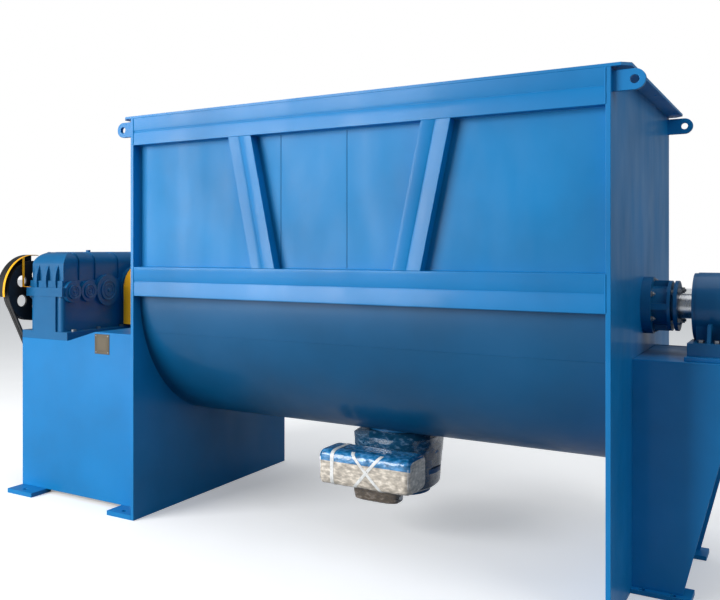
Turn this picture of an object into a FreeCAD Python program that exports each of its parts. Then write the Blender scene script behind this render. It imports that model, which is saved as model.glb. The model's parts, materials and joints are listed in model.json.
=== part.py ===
import FreeCAD, Part
import math
import os
from FreeCAD import Vector

os.makedirs("parts", exist_ok=True)

# Horizontal ribbon blender: a U-shaped trough in a plate frame, a double ribbon rotor on
# one long shaft, a belt and three-stage gear drive on a pedestal at the left end, an
# outboard bearing on a pedestal at the right end, and an air-driven butterfly valve under
# the trough.  Millimetres.  While the pieces are made, x = 0 is the middle of the trough,
# y = 0 the shaft's axis and z = 0 the floor; save() then moves x = 0 and y = 0 to the
# middle of the whole machine's length and depth.

# ---------------------------------------------------------------- driving dimensions
# trough and its frame
trough_length = 2392.0            # between the end plates
shell_radius = 688.0              # inside of the rolled shell
shell_sheet = 8.0
rail_depth = 54.0                 # rails' depth, from the shell to the frame's front
frame_height = 2135.0             # floor to the underside of the top flange
end_plate = 20.0
shaft_height = 1189.0
top_rail_height = 143.0
mid_rail_lift = 5.0               # mid rail above the shaft's axis
mid_rail_height = 154.0
rail_sheet = 6.0
bead_width = 16.0                 # stiffening bead pressed along rails and struts
bead_depth = 3.0
strut_width = 135.0
strut_top_offset = 509.0          # strut centre from the trough's middle, at the top
strut_bottom_offset = 372.0
flange_plate = 12.0
flange_overhang = 70.0            # top flange beyond each end plate
flange_corner = 34.0
flange_hole_radius = 7.0
flange_holes_long = 5
flange_holes_short = 3
flange_hole_edge = 26.0           # hole line in from the flange's outer edge
lug_reach = 80.0                  # lifting hole from the end plate
lug_radius = 40.0
lug_hole_radius = 16.5
lug_plate = 20.0
lug_inset = 28.0                  # lug face in from the frame's front and back
lug_drop = 52.0                   # lifting hole below the top flange

# shaft and rotor
journal_radius = 55.0
shaft_radius = 70.0
shaft_shoulder = 22.0             # thick shaft ends this far inside the end plates
running_fit = 0.05
seat_gap = 0.3                    # between welded or seated pieces on curved faces
ribbon_clearance = 24.0           # outer ribbon to the shell
outer_ribbon_width = 96.0
ribbon_step = 274.0               # inner ribbon's edge in from the outer ribbon's
inner_ribbon_width = 84.0
ribbon_thickness = 12.0
ribbon_pitch = 1120.0
ribbon_facets = 32                # flats to a turn
ribbon_end_gap = 30.0             # ribbon end to the end plate
ribbon_starts = 2
arms_per_turn = 4
arm_radius = 24.0

# shaft seals
seal_hole_radius = 80.0
seal_flange_radius = 128.0
seal_flange = 41.0
seal_body_radius = 88.0
seal_length = 118.0
seal_rim_radius = 112.0
seal_rim = 13.0
seal_web = 26.0
packing_radius = 75.0
packing_length = 54.0
gland_gap = 12.0
gland_plate = 16.0
gland_spigot = 22.0
seal_studs = 4
fastener_sides = 8                # bolts and studs repeat, so they have few faces
stud_radius = 7.0
stud_circle = 95.0
stud_tip = 6.0
seal_throat_gap = 1.0
nut_height = 12.0
nut_across = 26.0

# gear drive
gearbox_offset = 785.0            # gearbox middle from the left end plate's outer face
gearbox_half = 135.0              # housing wall from the gearbox middle
gearbox_front = 625.0             # front end wall before the shaft axis
gearbox_rear = 262.0
gearbox_wall = 12.0
gearbox_top = 236.0               # housing top above the shaft axis
base_flange = 46.0
base_flange_half = 190.0
base_flange_lip = 13.0
split_flange = 26.0               # each half's flange at the split
split_flange_lip = 17.0
column_half = 92.0
dome_rib = 9.0
shoulder_radius = 58.0
hollow_shoulder_radius = 40.0
stage_distance = (127.5, 159.0, 270.0)      # input to output shaft
stage_module = (5.0, 6.0, 10.0)
pinion_teeth = (14, 13, 14)
wheel_teeth = (37, 40, 40)
stage_width = (34.0, 54.0, 64.0)
stage_middle = (78.0, 18.0, -56.0)          # from the gearbox middle, along the shafts
pressure_angle = 20.0
addendum = 0.75                   # stub teeth; in modules, as is the dedendum
dedendum = 1.0
tooth_share = 0.44                # of the pitch; the rest is space and backlash
pinion_overlap = 3.0              # pinion wider than its wheel, each side
wheel_seat = 4.0                  # shaft thicker under a wheel
shaft_end_gap = 2.0
gearbox_journal = (24.0, 26.0, 38.0)        # input, second and third shaft
bearing_radius = (46.0, 50.0, 70.0, 108.0)
cover_radius = (63.0, 63.0, 95.0, 148.0)
cover_plate = 14.0
cover_rim = 9.0                   # cover's thickness outside its raised centre
cover_centre = 0.68               # raised centre's share of the cover's radius
cover_boss = 13.0
housing_corner = 24.0
housing_floor = 30.0
split_flange_tail = 40.0
bearing_band = 66.0               # flat side wall above the shaft axis
dome_inset = 13.0
dome_end_radius = 104.0
dome_bands = ((-612.0, -525.0), (-485.0, -412.0), (-353.0, -215.0), (-153.0, -10.0), (50.0, 190.0))
ear_places = (-80.0, 0.0, 80.0)   # curved lifting ears on the front end
ear_thickness = 22.0
ear_reach = 96.0
ear_waist = 19.2                  # the ear's curve passes this far behind the front wall
ear_waist_height = 0.68           # at this share of its height
breather_radius = 14.0
breather_height = 12.0
breather_y = -285.0
base_bolt_places = (-560.0, -360.0, -160.0, 40.0, 200.0)

# belt drive and motor
pulley_gap = 4.0                  # pulley from the pedestal's side
pulley_width = 50.0
pulley_radius = 182.0
pulley_rim = 26.0
pulley_web = 14.0
motor_pulley_radius = 81.0
pulley_hub = 20.0                 # hub wall round the shaft
pulley_holes = 5
pulley_hole_radius = 35.0
pulley_hole_circle = 100.0
belt_count = 2
belt_pitch = 24.0
belt_top_width = 20.0
belt_root_width = 11.0
belt_height = 14.0
groove_depth = 15.0
motor_front = 243.0               # motor shaft before the rotor's axis
motor_height = 350.0
motor_radius = 178.0
motor_length = 430.0
motor_foot_height = 225.0
motor_shaft_radius = 27.5
motor_inset = 46.0                # motor from the pedestal's side plate
fan_cover_length = 110.0
guard_radius = 219.0
guard_sheet = 3.0
guard_clear = 8.0                 # guard back plate beyond the pulley
guard_crescent_radius = 150.0
guard_end = 40.0                  # band ends this far behind the pulley's middle
guard_drop = 30.0
guard_bracket = 16.0
guard_bracket_gap = 5.0
guard_foot = 24.0
motor_shield = 30.0
motor_shield_step = 6.0
motor_foot = 26.0
motor_foot_half = 178.0
motor_rail = 70.0
motor_rail_half = 230.0
terminal_length = 150.0
terminal_rise = 60.0
fan_gap = 12.0
fan_hub_radius = 45.0
fan_blades = 6

# drive pedestal
pedestal_length = 976.0
pedestal_recess = 112.0           # front panel behind the frame's front
platform_drop = 216.0             # shaft's axis down to the platform under the coupling
platform_rise = 62.0              # platform above the deck that carries the gearbox
platform_length = 373.0
slope_length = 214.0
pedestal_sheet = 10.0
pedestal_plate = 16.0
foot_plate = 25.0
foot_width_left = 206.0
foot_width_right = 174.0
foot_hole_radius = 13.0
foot_hole_edge = 46.0
foot_depth = 150.0
motor_hole_radius = 60.0

# coupling and drive-end bearing
coupling_radius = 118.0
coupling_half_length = 62.0
coupling_hub_radius = 88.0
coupling_hub_length = 40.0
coupling_gap = 4.0
coupling_pins = 6
pin_circle = 92.0
pin_radius = 13.0
plummer_width = 96.0
plummer_radius = 92.0
plummer_gap = 14.0                # between the seal's studs and the bearing block
plummer_foot = 30.0
plummer_foot_half = 150.0
plummer_side = 14.0
plummer_wall = 16.0
plummer_bolt_line = 125.0
bearing_ring_share = 0.42         # each ring's share of a bearing's depth
coupling_guard_radius = 165.0
coupling_guard_end = 23.0         # guard from the output bearing cover

# outboard bearing and its pedestal
housing_offset = 208.0            # bearing housing from the right end plate
housing_length = 210.0
housing_radius = 150.0
housing_bore = 105.0
housing_cap = 16.0
housing_block_half = 250.0
housing_block = 55.0
housing_block_lip = 5.0
slab_half = 285.0
slab_drop = 194.0                 # shaft's axis down to the slab's top
slab_plate = 17.0
slab_lip = 12.0
housing_rib = 14.0
housing_rib_spread = 60.0
housing_rib_height = 75.0
housing_rib_foot = 20.0           # rib's foot and top in from the block's ends
housing_rib_top = 50.0
housing_cap_step = 3.0
housing_neck_half = 128.0
housing_bolt_line = 212.0
outboard_bearing_width = 90.0
outboard_pedestal_half = 317.0
outboard_pedestal_top_length = 430.0
outboard_pedestal_slope = 0.244
outboard_foot_plate = 20.0
outboard_foot_lip = 34.0
outboard_foot_width = 130.0
outboard_foot_hole_edge = 17.0
outboard_foot_hole_places = (40.0, 160.0)   # from the end plate

# discharge valve
outlet_bore = 150.0
outlet_wall = 12.0
valve_drop = 141.0                # stem's axis below the shell
valve_half = 39.0
valve_radius = 186.0
outlet_flange_radius = 215.0
outlet_flange = 22.0
outlet_bolts = 8
outlet_bolt_circle = 200.0
outlet_bolt_radius = 9.0
outlet_tail = 131.0               # outlet pipe below the valve
seat_sheet = 6.0
disc_gap = 0.3
disc_thickness = 30.0
disc_rim = 12.0
stem_radius = 16.0
valve_neck_radius = 34.0
valve_neck_end = 214.0
actuator_pad = 14.0
actuator_pad_half = 62.0
actuator_pad_height = 72.0
actuator_length = 372.0
actuator_cap = 54.0
actuator_height = 160.0
actuator_depth = 200.0
actuator_corner = 46.0
piston_radius = 62.0
piston_length = 34.0
pinion_module = 4.0
pinion_count = 14                 # even, so that both racks mesh alike
rack_teeth = 9
rack_back = 12.0
rack_width = 40.0
air_block_length = 150.0
air_block_depth = 96.0
air_block_height = 66.0
air_coil_radius = 21.0
air_coil_length = 44.0
air_block_offset = 40.0
piston_rest = 84.0                # piston's inner face from the pinion with the valve shut
pinion_clearance = 1.5
rack_lead = 4.0                   # rack teeth beyond the pinion's middle, valve shut
disc_boss_end = 138.0
valve_tail = 12.0

plate_size = 112.0                # rating plate, left bare
plate_inset = 0.0
plate_drop = 66.0
plate_sheet = 2.0

# ---------------------------------------------------------------- places worked out from them
left_face = -trough_length / 2 - end_plate
right_face = trough_length / 2 + end_plate
shell_outside = shell_radius + shell_sheet
frame_depth = 2 * (shell_outside + rail_depth)
front_face = -frame_depth / 2
mid_rail_bottom = shaft_height + mid_rail_lift
mid_rail_top = mid_rail_bottom + mid_rail_height
outer_ribbon_radius = shell_radius - ribbon_clearance
inner_ribbon_radius = outer_ribbon_radius - ribbon_step
platform_top = shaft_height - platform_drop
pedestal_top = platform_top - platform_rise
slab_top = shaft_height - slab_drop
slab_bottom = slab_top - slab_plate
housing_block_top = slab_top + housing_block
gearbox_x = left_face - gearbox_offset
output_y = 0.0
third_y = output_y - stage_distance[2]
second_y = third_y - stage_distance[1]
input_y = second_y - stage_distance[0]
shaft_places = (input_y, second_y, third_y, output_y)
pedestal_left = left_face - pedestal_length
pedestal_half = frame_depth / 2 - pedestal_recess
pulley_right = pedestal_left - pulley_gap
pulley_left = pulley_right - pulley_width
motor_y = -motor_front
valve_axis = shaft_height - shell_outside - valve_drop
valve_top = valve_axis + valve_half
valve_bottom = valve_axis - valve_half
outlet_end = valve_bottom - outlet_tail
belt_places = [(pulley_left + pulley_right) / 2 + belt_pitch * (i - (belt_count - 1) / 2)
               for i in range(belt_count)]
arm_spacing = ribbon_pitch / arms_per_turn
station_count = int((trough_length / 2 - ribbon_end_gap) / arm_spacing)
arm_stations = [(i * arm_spacing, i * 360.0 / arms_per_turn)
                for i in range(-station_count, station_count + 1)]
seal_reach = seal_length + gland_gap + gland_plate + nut_height + stud_tip
plummer_left = left_face - seal_reach - plummer_gap - plummer_width
shaft_left = plummer_left - plummer_gap - coupling_hub_length - coupling_half_length
shaft_right = right_face + housing_offset + housing_length - housing_cap - shaft_end_gap
gear_coupling_face = shaft_left - coupling_gap
machine_left = pulley_left - guard_clear - guard_sheet
machine_right = right_face + max(outboard_pedestal_top_length,
                                 housing_offset + housing_length + slab_lip)
machine_middle = (machine_left + machine_right) / 2
machine_front = min(front_face, input_y - guard_radius)
machine_depth_middle = (machine_front - front_face) / 2


# ---------------------------------------------------------------- helpers
def save(name, *solids):
    """Write one node's solids in the machine's frame."""
    shape = solids[0] if len(solids) == 1 else Part.makeCompound(list(solids))
    shape = shape.copy()
    shape.translate(Vector(-machine_middle, -machine_depth_middle, 0))
    shape.exportStep("parts/" + name + ".step")


def block(x0, x1, y0, y1, z0, z1):
    return Part.makeBox(x1 - x0, y1 - y0, z1 - z0, Vector(x0, y0, z0))


def rod_x(x0, x1, radius, y=0.0, z=shaft_height):
    return Part.makeCylinder(radius, x1 - x0, Vector(x0, y, z), Vector(1, 0, 0))


def rod_y(y0, y1, radius, x, z):
    return Part.makeCylinder(radius, y1 - y0, Vector(x, y0, z), Vector(0, 1, 0))


def rod_z(z0, z1, radius, x=0.0, y=0.0):
    return Part.makeCylinder(radius, z1 - z0, Vector(x, y, z0), Vector(0, 0, 1))


def ring_x(x0, x1, outer, inner, y=0.0, z=shaft_height):
    return rod_x(x0, x1, outer, y, z).cut(rod_x(x0, x1, inner, y, z))


def ring_z(z0, z1, outer, inner):
    return rod_z(z0, z1, outer).cut(rod_z(z0, z1, inner))


def prism(points, along):
    """Extrude a closed outline of points along a vector."""
    corners = [Vector(*p) for p in points]
    return Part.Face(Part.makePolygon(corners + corners[:1])).extrude(Vector(*along))


def join(first, *others):
    return first.multiFuse(list(others)).removeSplitter()


def turned(shape, angle, y=0.0, z=shaft_height):
    """A copy turned about a line along x."""
    copy = shape.copy()
    copy.rotate(Vector(0, y, z), Vector(1, 0, 0), angle)
    return copy


def mirrored_y(shape):
    return shape.mirror(Vector(0, 0, 0), Vector(0, 1, 0))


def mirrored_x(shape):
    return shape.mirror(Vector(0, 0, 0), Vector(1, 0, 0))


def around_x(shape, count, y=0.0, z=shaft_height, start=0.0):
    return [turned(shape, start + 360.0 * i / count, y, z) for i in range(count)]


def bar_x(x0, x1, radius, y, z, sides=fastener_sides):
    """A bar of few sides along x: a stud, or a nut with six."""
    corners = [2 * math.pi * i / sides for i in range(sides)]
    return prism([(x0, y + radius * math.cos(a), z + radius * math.sin(a)) for a in corners],
                 (x1 - x0, 0, 0))


def bar_z(z0, z1, radius, x, y, sides=fastener_sides):
    corners = [2 * math.pi * i / sides for i in range(sides)]
    return prism([(x + radius * math.cos(a), y + radius * math.sin(a), z0) for a in corners],
                 (0, 0, z1 - z0))


def nut_x(x, y, z):
    return bar_x(x, x + nut_height, nut_across / math.sqrt(3), y, z, 6)


def nut_z(z, x, y):
    return bar_z(z, z + nut_height, nut_across / math.sqrt(3), x, y, 6)


# ---------------------------------------------------------------- trough and frame
def make_trough():
    half = trough_length / 2
    lower = rod_x(-half, half, shell_outside).cut(rod_x(-half, half, shell_radius))
    lower = lower.cut(block(-half, half, -shell_outside, shell_outside,
                            shaft_height, shaft_height + shell_outside))
    lower = lower.cut(rod_z(0, shaft_height, outlet_bore))
    save("trough_shell", lower)
    wall = block(-half, half, -shell_outside, -shell_radius, shaft_height, frame_height)
    save("trough_walls", wall, mirrored_y(wall))
    for name, x0 in (("end_plate_left", left_face), ("end_plate_right", right_face - end_plate)):
        plate = block(x0, x0 + end_plate, front_face, -front_face, 0, frame_height)
        save(name, plate.cut(rod_x(x0, x0 + end_plate, seal_hole_radius)))


def channel_points(low, high, face, back):
    """Section of a folded channel with a bead along its web, in (depth, width)."""
    middle = (low + high) / 2
    inner = face + rail_sheet
    return [(back, low), (face, low), (face, middle - bead_width / 2),
            (face + bead_depth, middle), (face, middle + bead_width / 2), (face, high),
            (back, high), (back, high - rail_sheet), (inner, high - rail_sheet),
            (inner, middle + bead_width / 2), (inner + bead_depth, middle),
            (inner, middle - bead_width / 2), (inner, low + rail_sheet), (back, low + rail_sheet)]


def make_rails():
    half = trough_length / 2
    for name, low, high in (("top_rails", frame_height - top_rail_height, frame_height),
                            ("mid_rails", mid_rail_bottom, mid_rail_top)):
        section = channel_points(low, high, front_face, -shell_outside)
        rail = prism([(-half, y, z) for y, z in section], (2 * half, 0, 0))
        save(name, rail, mirrored_y(rail))
    low, high = mid_rail_top, frame_height - top_rail_height
    shift = strut_top_offset - strut_bottom_offset
    section = channel_points(strut_bottom_offset - strut_width / 2,
                             strut_bottom_offset + strut_width / 2, front_face, -shell_outside)
    right = prism([(x, y, low) for y, x in section], (shift, 0, high - low))
    left = mirrored_x(right)
    save("struts", right, left, mirrored_y(right), mirrored_y(left))


def make_top_flange():
    outer_x = right_face + flange_overhang
    inner_x = trough_length / 2
    z0, z1 = frame_height, frame_height + flange_plate
    corner = flange_corner
    long_bar = prism([(-outer_x, -shell_radius, z0), (-outer_x, front_face + corner, z0),
                      (-outer_x + corner, front_face, z0), (outer_x - corner, front_face, z0),
                      (outer_x, front_face + corner, z0), (outer_x, -shell_radius, z0)],
                     (0, 0, z1 - z0))
    reach = outer_x - 2 * flange_hole_edge
    for i in range(flange_holes_long):
        x = -reach + 2 * reach * i / (flange_holes_long - 1)
        long_bar = long_bar.cut(rod_z(z0, z1, flange_hole_radius, x,
                                      front_face + flange_hole_edge))
    end_bar = block(inner_x, outer_x, -shell_radius, shell_radius, z0, z1)
    reach = shell_radius - 3 * flange_hole_edge
    for i in range(flange_holes_short):
        y = -reach + 2 * reach * i / (flange_holes_short - 1)
        end_bar = end_bar.cut(rod_z(z0, z1, flange_hole_radius, outer_x - flange_hole_edge, y))
    save("top_flange", long_bar, mirrored_y(long_bar), end_bar, mirrored_x(end_bar))


def make_lifting_lugs():
    y0 = front_face + lug_inset
    z = frame_height - lug_drop
    lug = block(right_face, right_face + lug_reach, y0, y0 + lug_plate,
                z - lug_radius, z + lug_radius)
    lug = join(lug, rod_y(y0, y0 + lug_plate, lug_radius, right_face + lug_reach, z))
    lug = lug.cut(rod_y(y0, y0 + lug_plate, lug_hole_radius, right_face + lug_reach, z))
    save("lifting_lugs", lug, mirrored_y(lug), mirrored_x(lug), mirrored_y(mirrored_x(lug)))


# ---------------------------------------------------------------- rotor
def ribbon(radius, width, hand, angle):
    """One strip wound edgewise in short flats from the trough's middle to its right end."""
    count = int(round(ribbon_facets * station_count / arms_per_turn))
    step = 360.0 / ribbon_facets
    stations = []
    for i in range(count + 1):
        a = math.radians(angle + hand * step * i)
        middle = seat_gap + ribbon_thickness / 2 + ribbon_pitch * i / ribbon_facets
        stations.append([Vector(middle + side * ribbon_thickness / 2, -r * math.sin(a),
                                shaft_height + r * math.cos(a))
                         for r, side in ((radius, -1), (radius, 1),
                                         (radius - width, 1), (radius - width, -1))])
    rings = [Part.makePolygon(points + points[:1]) for points in (stations[0], stations[-1])]
    faces = [Part.Face(ring) for ring in rings]
    for here, there in zip(stations, stations[1:]):
        for k in range(4):
            a, b, c, d = here[k], here[(k + 1) % 4], there[(k + 1) % 4], there[k]
            if k % 2 == 0:
                faces.append(Part.Face(Part.makePolygon([a, b, c, d, a])))
            else:
                faces += [Part.Face(Part.makePolygon([a, b, c, a])),
                          Part.Face(Part.makePolygon([a, c, d, a]))]
    strip = Part.makeSolid(Part.makeShell(faces))
    if strip.Volume < 0:
        strip.reverse()
    return strip


def arm_at(x, angle, radius, reach):
    """A round bar through the shaft, as long each way as reach."""
    bar = Part.makeCylinder(radius, 2 * reach, Vector(x, 0, shaft_height - reach))
    return turned(bar, angle)


def make_rotor():
    thick = trough_length / 2 - shaft_shoulder
    shaft = join(rod_x(shaft_left, shaft_right, journal_radius), rod_x(-thick, thick, shaft_radius))
    half_flat = math.tan(math.pi / ribbon_facets)
    arm_reach = outer_ribbon_radius - outer_ribbon_width - arm_radius * half_flat - seat_gap
    arms = []
    for x, a in arm_stations:
        shaft = shaft.cut(arm_at(x, a, arm_radius + running_fit, 2 * shaft_radius))
        arms.append(arm_at(x, a, arm_radius, arm_reach))
    save("main_shaft", shaft)
    save("ribbon_arms", *arms)

    starts = [360.0 * i / ribbon_starts for i in range(ribbon_starts)]
    outer = [ribbon(outer_ribbon_radius, outer_ribbon_width, 1, a) for a in starts]
    save("outer_ribbons", *outer, *[mirrored_x(strip) for strip in outer])
    inner = [ribbon(inner_ribbon_radius, inner_ribbon_width, -1, a) for a in starts]
    slot = arm_radius + seat_gap
    for x, a in arm_stations:
        if x >= 0:
            notch = block(x - slot, x + slot, -slot, slot, shaft_height - inner_ribbon_radius * 2,
                          shaft_height + inner_ribbon_radius * 2)
            inner = [strip.cut(turned(notch, a)) for strip in inner]
    save("inner_ribbons", *[part for strip in inner for part in strip.Solids],
         *[mirrored_x(part) for strip in inner for part in strip.Solids])


# ---------------------------------------------------------------- shaft seals and bearings
def make_seals():
    """Stuffing box on each end plate: a ribbed housing, its packing, and a gland on studs."""
    x0 = right_face
    x1 = x0 + seal_flange
    x2 = x0 + seal_length
    throat = journal_radius + seal_throat_gap
    housing = join(rod_x(x0, x1, seal_flange_radius), rod_x(x1, x2, seal_body_radius),
                   rod_x(x2 - seal_rim, x2, seal_rim_radius),
                   block(x1, x2 - seal_rim, -seal_rim_radius, seal_rim_radius,
                         shaft_height - seal_web / 2, shaft_height + seal_web / 2),
                   block(x1, x2 - seal_rim, -seal_web / 2, seal_web / 2,
                         shaft_height - seal_rim_radius, shaft_height + seal_rim_radius))
    packing_end = x2 - (gland_spigot - gland_gap)
    packing_start = packing_end - packing_length
    housing = housing.cut(rod_x(x0, x2, throat)).cut(rod_x(packing_start, x2, packing_radius))
    packing = ring_x(packing_start, packing_end, packing_radius, journal_radius + running_fit)
    x3 = x2 + gland_gap
    gland = join(rod_x(x3, x3 + gland_plate, seal_rim_radius),
                 rod_x(packing_end, x3, packing_radius - seat_gap))
    gland = gland.cut(rod_x(packing_end, x3 + gland_plate, throat))
    studs = []
    for i in range(seal_studs):
        a = math.radians(45 + 360.0 * i / seal_studs)
        y, z = stud_circle * math.cos(a), shaft_height + stud_circle * math.sin(a)
        gland = gland.cut(bar_x(x3, x3 + gland_plate, stud_radius + seat_gap, y, z))
        studs.append(join(bar_x(x2, x3 + gland_plate + nut_height + stud_tip, stud_radius, y, z),
                          nut_x(x3 + gland_plate, y, z)))
    save("seal_housings", housing, mirrored_x(housing))
    save("glands", gland, mirrored_x(gland))
    save("packing_rings", packing, mirrored_x(packing))
    save("seal_studs", *studs, *[mirrored_x(stud) for stud in studs])


def bearing_rings(x0, x1, outside):
    """Outer and inner ring of a roller bearing on the main journal."""
    depth = (outside - journal_radius) * bearing_ring_share
    outer = ring_x(x0, x1, outside, outside - depth)
    inner = ring_x(x0, x1, journal_radius + depth, journal_radius + running_fit)
    return outer, inner


def make_main_bearings():
    # drive end: a split plummer block on the platform, under the coupling guard
    x0, x1 = plummer_left, plummer_left + plummer_width
    middle_high = rod_x(x0, x1, plummer_radius)
    foot = block(x0, x1, -plummer_foot_half, plummer_foot_half, platform_top,
                 platform_top + plummer_foot)
    saddle = block(x0, x1, -plummer_radius, plummer_radius, platform_top + plummer_foot, shaft_height)
    below = block(x0, x1, -frame_depth, frame_depth, 0, shaft_height)
    seat = plummer_radius - plummer_wall
    bore = rod_x(x0 + plummer_side, x1 - plummer_side, seat)
    bore = bore.fuse(rod_x(x0, x1, journal_radius + seal_throat_gap))
    whole = join(middle_high, foot, saddle).cut(bore)
    save("plummer_block", whole.common(below), whole.cut(below))
    drive_end = bearing_rings(x0 + plummer_side, x1 - plummer_side, seat)

    # outboard end: a one-piece round housing on a machined block and a base slab
    x0, x1 = right_face + housing_offset, right_face + housing_offset + housing_length
    x2, x3 = x0 + housing_cap, x1 - housing_cap
    y = housing_block_half
    housing = join(rod_x(x2, x3, housing_radius),
                   block(x2, x3, -housing_neck_half, housing_neck_half,
                         housing_block_top, shaft_height),
                   block(x0 - housing_block_lip, x1 + housing_block_lip, -y, y,
                         slab_top, housing_block_top))
    for x in ((x0 + x1) / 2 - housing_rib_spread / 2, (x0 + x1) / 2 + housing_rib_spread / 2):
        foot, crest = y - housing_rib_foot, y - housing_rib_top
        high = housing_block_top + housing_rib_height
        outline = [(-foot, housing_block_top), (-crest, high), (crest, high), (foot, housing_block_top)]
        rib = prism([(x - housing_rib / 2, h, v) for h, v in outline], (housing_rib, 0, 0))
        housing = housing.fuse(rib)
    housing = housing.removeSplitter().cut(rod_x(x2, x3, housing_bore))
    for a, b in ((x0 - housing_block_lip, x2), (x3, x1 + housing_block_lip)):
        housing = housing.cut(rod_x(a, b, housing_radius))
    caps = (ring_x(x0, x2, housing_radius - housing_cap_step, journal_radius + seal_throat_gap),
            rod_x(x3, x1, housing_radius - housing_cap_step))
    save("bearing_housing", housing)
    save("bearing_housing_caps", *caps)
    middle = (x2 + x3) / 2
    outboard = bearing_rings(middle - outboard_bearing_width / 2,
                             middle + outboard_bearing_width / 2, housing_bore)
    save("bearing_inner_rings", drive_end[1], outboard[1])
    return drive_end[0], outboard[0]


def make_outboard_pedestal():
    half = outboard_pedestal_half
    top = slab_bottom
    deck = pedestal_plate
    reach = outboard_pedestal_top_length
    foot = reach - outboard_pedestal_slope * (top - outboard_foot_plate)
    side = prism([(right_face, -half, outboard_foot_plate),
                  (right_face + foot, -half, outboard_foot_plate),
                  (right_face + reach, -half, top), (right_face, -half, top)],
                 (0, pedestal_sheet, 0))
    inner = half - pedestal_sheet
    web_x = right_face + foot / 2
    web = block(web_x, web_x + pedestal_sheet, -inner, inner, outboard_foot_plate, top - deck)
    plate = block(right_face, right_face + reach, -inner, inner, top - deck, top)
    x0 = right_face + housing_offset - slab_lip
    x1 = right_face + housing_offset + housing_length + slab_lip
    slab = block(x0, x1, -slab_half, slab_half, slab_bottom, slab_top)
    save("outboard_pedestal", side, mirrored_y(side), web, plate, slab)
    y = half + outboard_foot_lip
    pad = block(right_face, right_face + foot + outboard_foot_lip, -y,
                -y + outboard_foot_width, 0, outboard_foot_plate)
    for place in outboard_foot_hole_places:
        pad = pad.cut(rod_z(0, outboard_foot_plate, foot_hole_radius, right_face + place,
                            -y + outboard_foot_hole_edge))
    save("outboard_pedestal_feet", pad, mirrored_y(pad))


# ---------------------------------------------------------------- drive pedestal
def make_drive_pedestal():
    x0, x4 = pedestal_left, left_face
    x3 = x4 - platform_length
    x2 = x3 - slope_length
    y = pedestal_half
    outline = [(x0, foot_plate), (x4, foot_plate), (x4, platform_top), (x3, platform_top),
               (x2, pedestal_top), (x0, pedestal_top)]
    panel = prism([(x, -y, z) for x, z in outline], (0, pedestal_sheet, 0))
    inner = y - pedestal_sheet
    side = block(x0, x0 + pedestal_sheet, -inner, inner, foot_plate, pedestal_top - pedestal_plate)
    side = side.cut(rod_x(x0, x0 + pedestal_sheet, motor_hole_radius, motor_y, motor_height))
    save("drive_pedestal_panels", panel, mirrored_y(panel), side)
    t = pedestal_plate
    deck = [(x0, pedestal_top), (x2, pedestal_top), (x3, platform_top), (x4, platform_top),
            (x4, platform_top - t), (x3, platform_top - t), (x2, pedestal_top - t),
            (x0, pedestal_top - t)]
    save("drive_pedestal_deck", prism([(x, -inner, z) for x, z in deck], (0, 2 * inner, 0)))
    feet = []
    for a, b in ((x0, x0 + foot_width_left), (x4 - foot_width_right, x4)):
        pad = block(a, b, front_face, front_face + foot_depth, 0, foot_plate)
        pad = pad.cut(rod_z(0, foot_plate, foot_hole_radius, (a + b) / 2,
                            front_face + foot_hole_edge))
        feet += [pad, mirrored_y(pad)]
    save("drive_pedestal_feet", *feet)
    x = x3 + plate_size / 2 + plate_inset
    z = platform_top - plate_drop
    save("rating_plate", block(x - plate_size / 2, x + plate_size / 2, -y - plate_sheet, -y,
                               z - plate_size / 2, z + plate_size / 2))


# ---------------------------------------------------------------- gearbox
def turn_x(points, y, z=shaft_height):
    """Revolve an outline of (x, radius) points about a line along x."""
    corners = [Vector(x, y, z + r) for x, r in points]
    face = Part.Face(Part.makePolygon(corners + corners[:1]))
    return face.revolve(Vector(0, y, z), Vector(1, 0, 0), 360)


def across_gearbox(shape):
    """The same piece on the other side wall of the gearbox."""
    return shape.mirror(Vector(gearbox_x, 0, 0), Vector(1, 0, 0))


def gear_x(x0, x1, module, teeth, y, phase):
    """Spur gear along x, each flank two chords of its involute.  phase is the first tooth's
    direction in the y-z plane, in degrees."""
    pitch = module * teeth / 2
    pressure = math.radians(pressure_angle)
    base = pitch * math.cos(pressure)
    half = math.pi * tooth_share / teeth

    def half_angle(radius):
        roll = math.acos(min(1.0, base / radius))
        return half + math.tan(pressure) - pressure - math.tan(roll) + roll

    flank = [(r, half_angle(r)) for r in (pitch - dedendum * module, pitch, pitch + addendum * module)]
    tooth = [(r, -turn) for r, turn in flank] + [(r, turn) for r, turn in reversed(flank)]
    points = []
    for i in range(teeth):
        a = math.radians(phase) + 2 * math.pi * i / teeth
        points += [(x0, y + r * math.cos(a + turn), shaft_height + r * math.sin(a + turn))
                   for r, turn in tooth]
    return prism(points, (x1 - x0, 0, 0))


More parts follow.
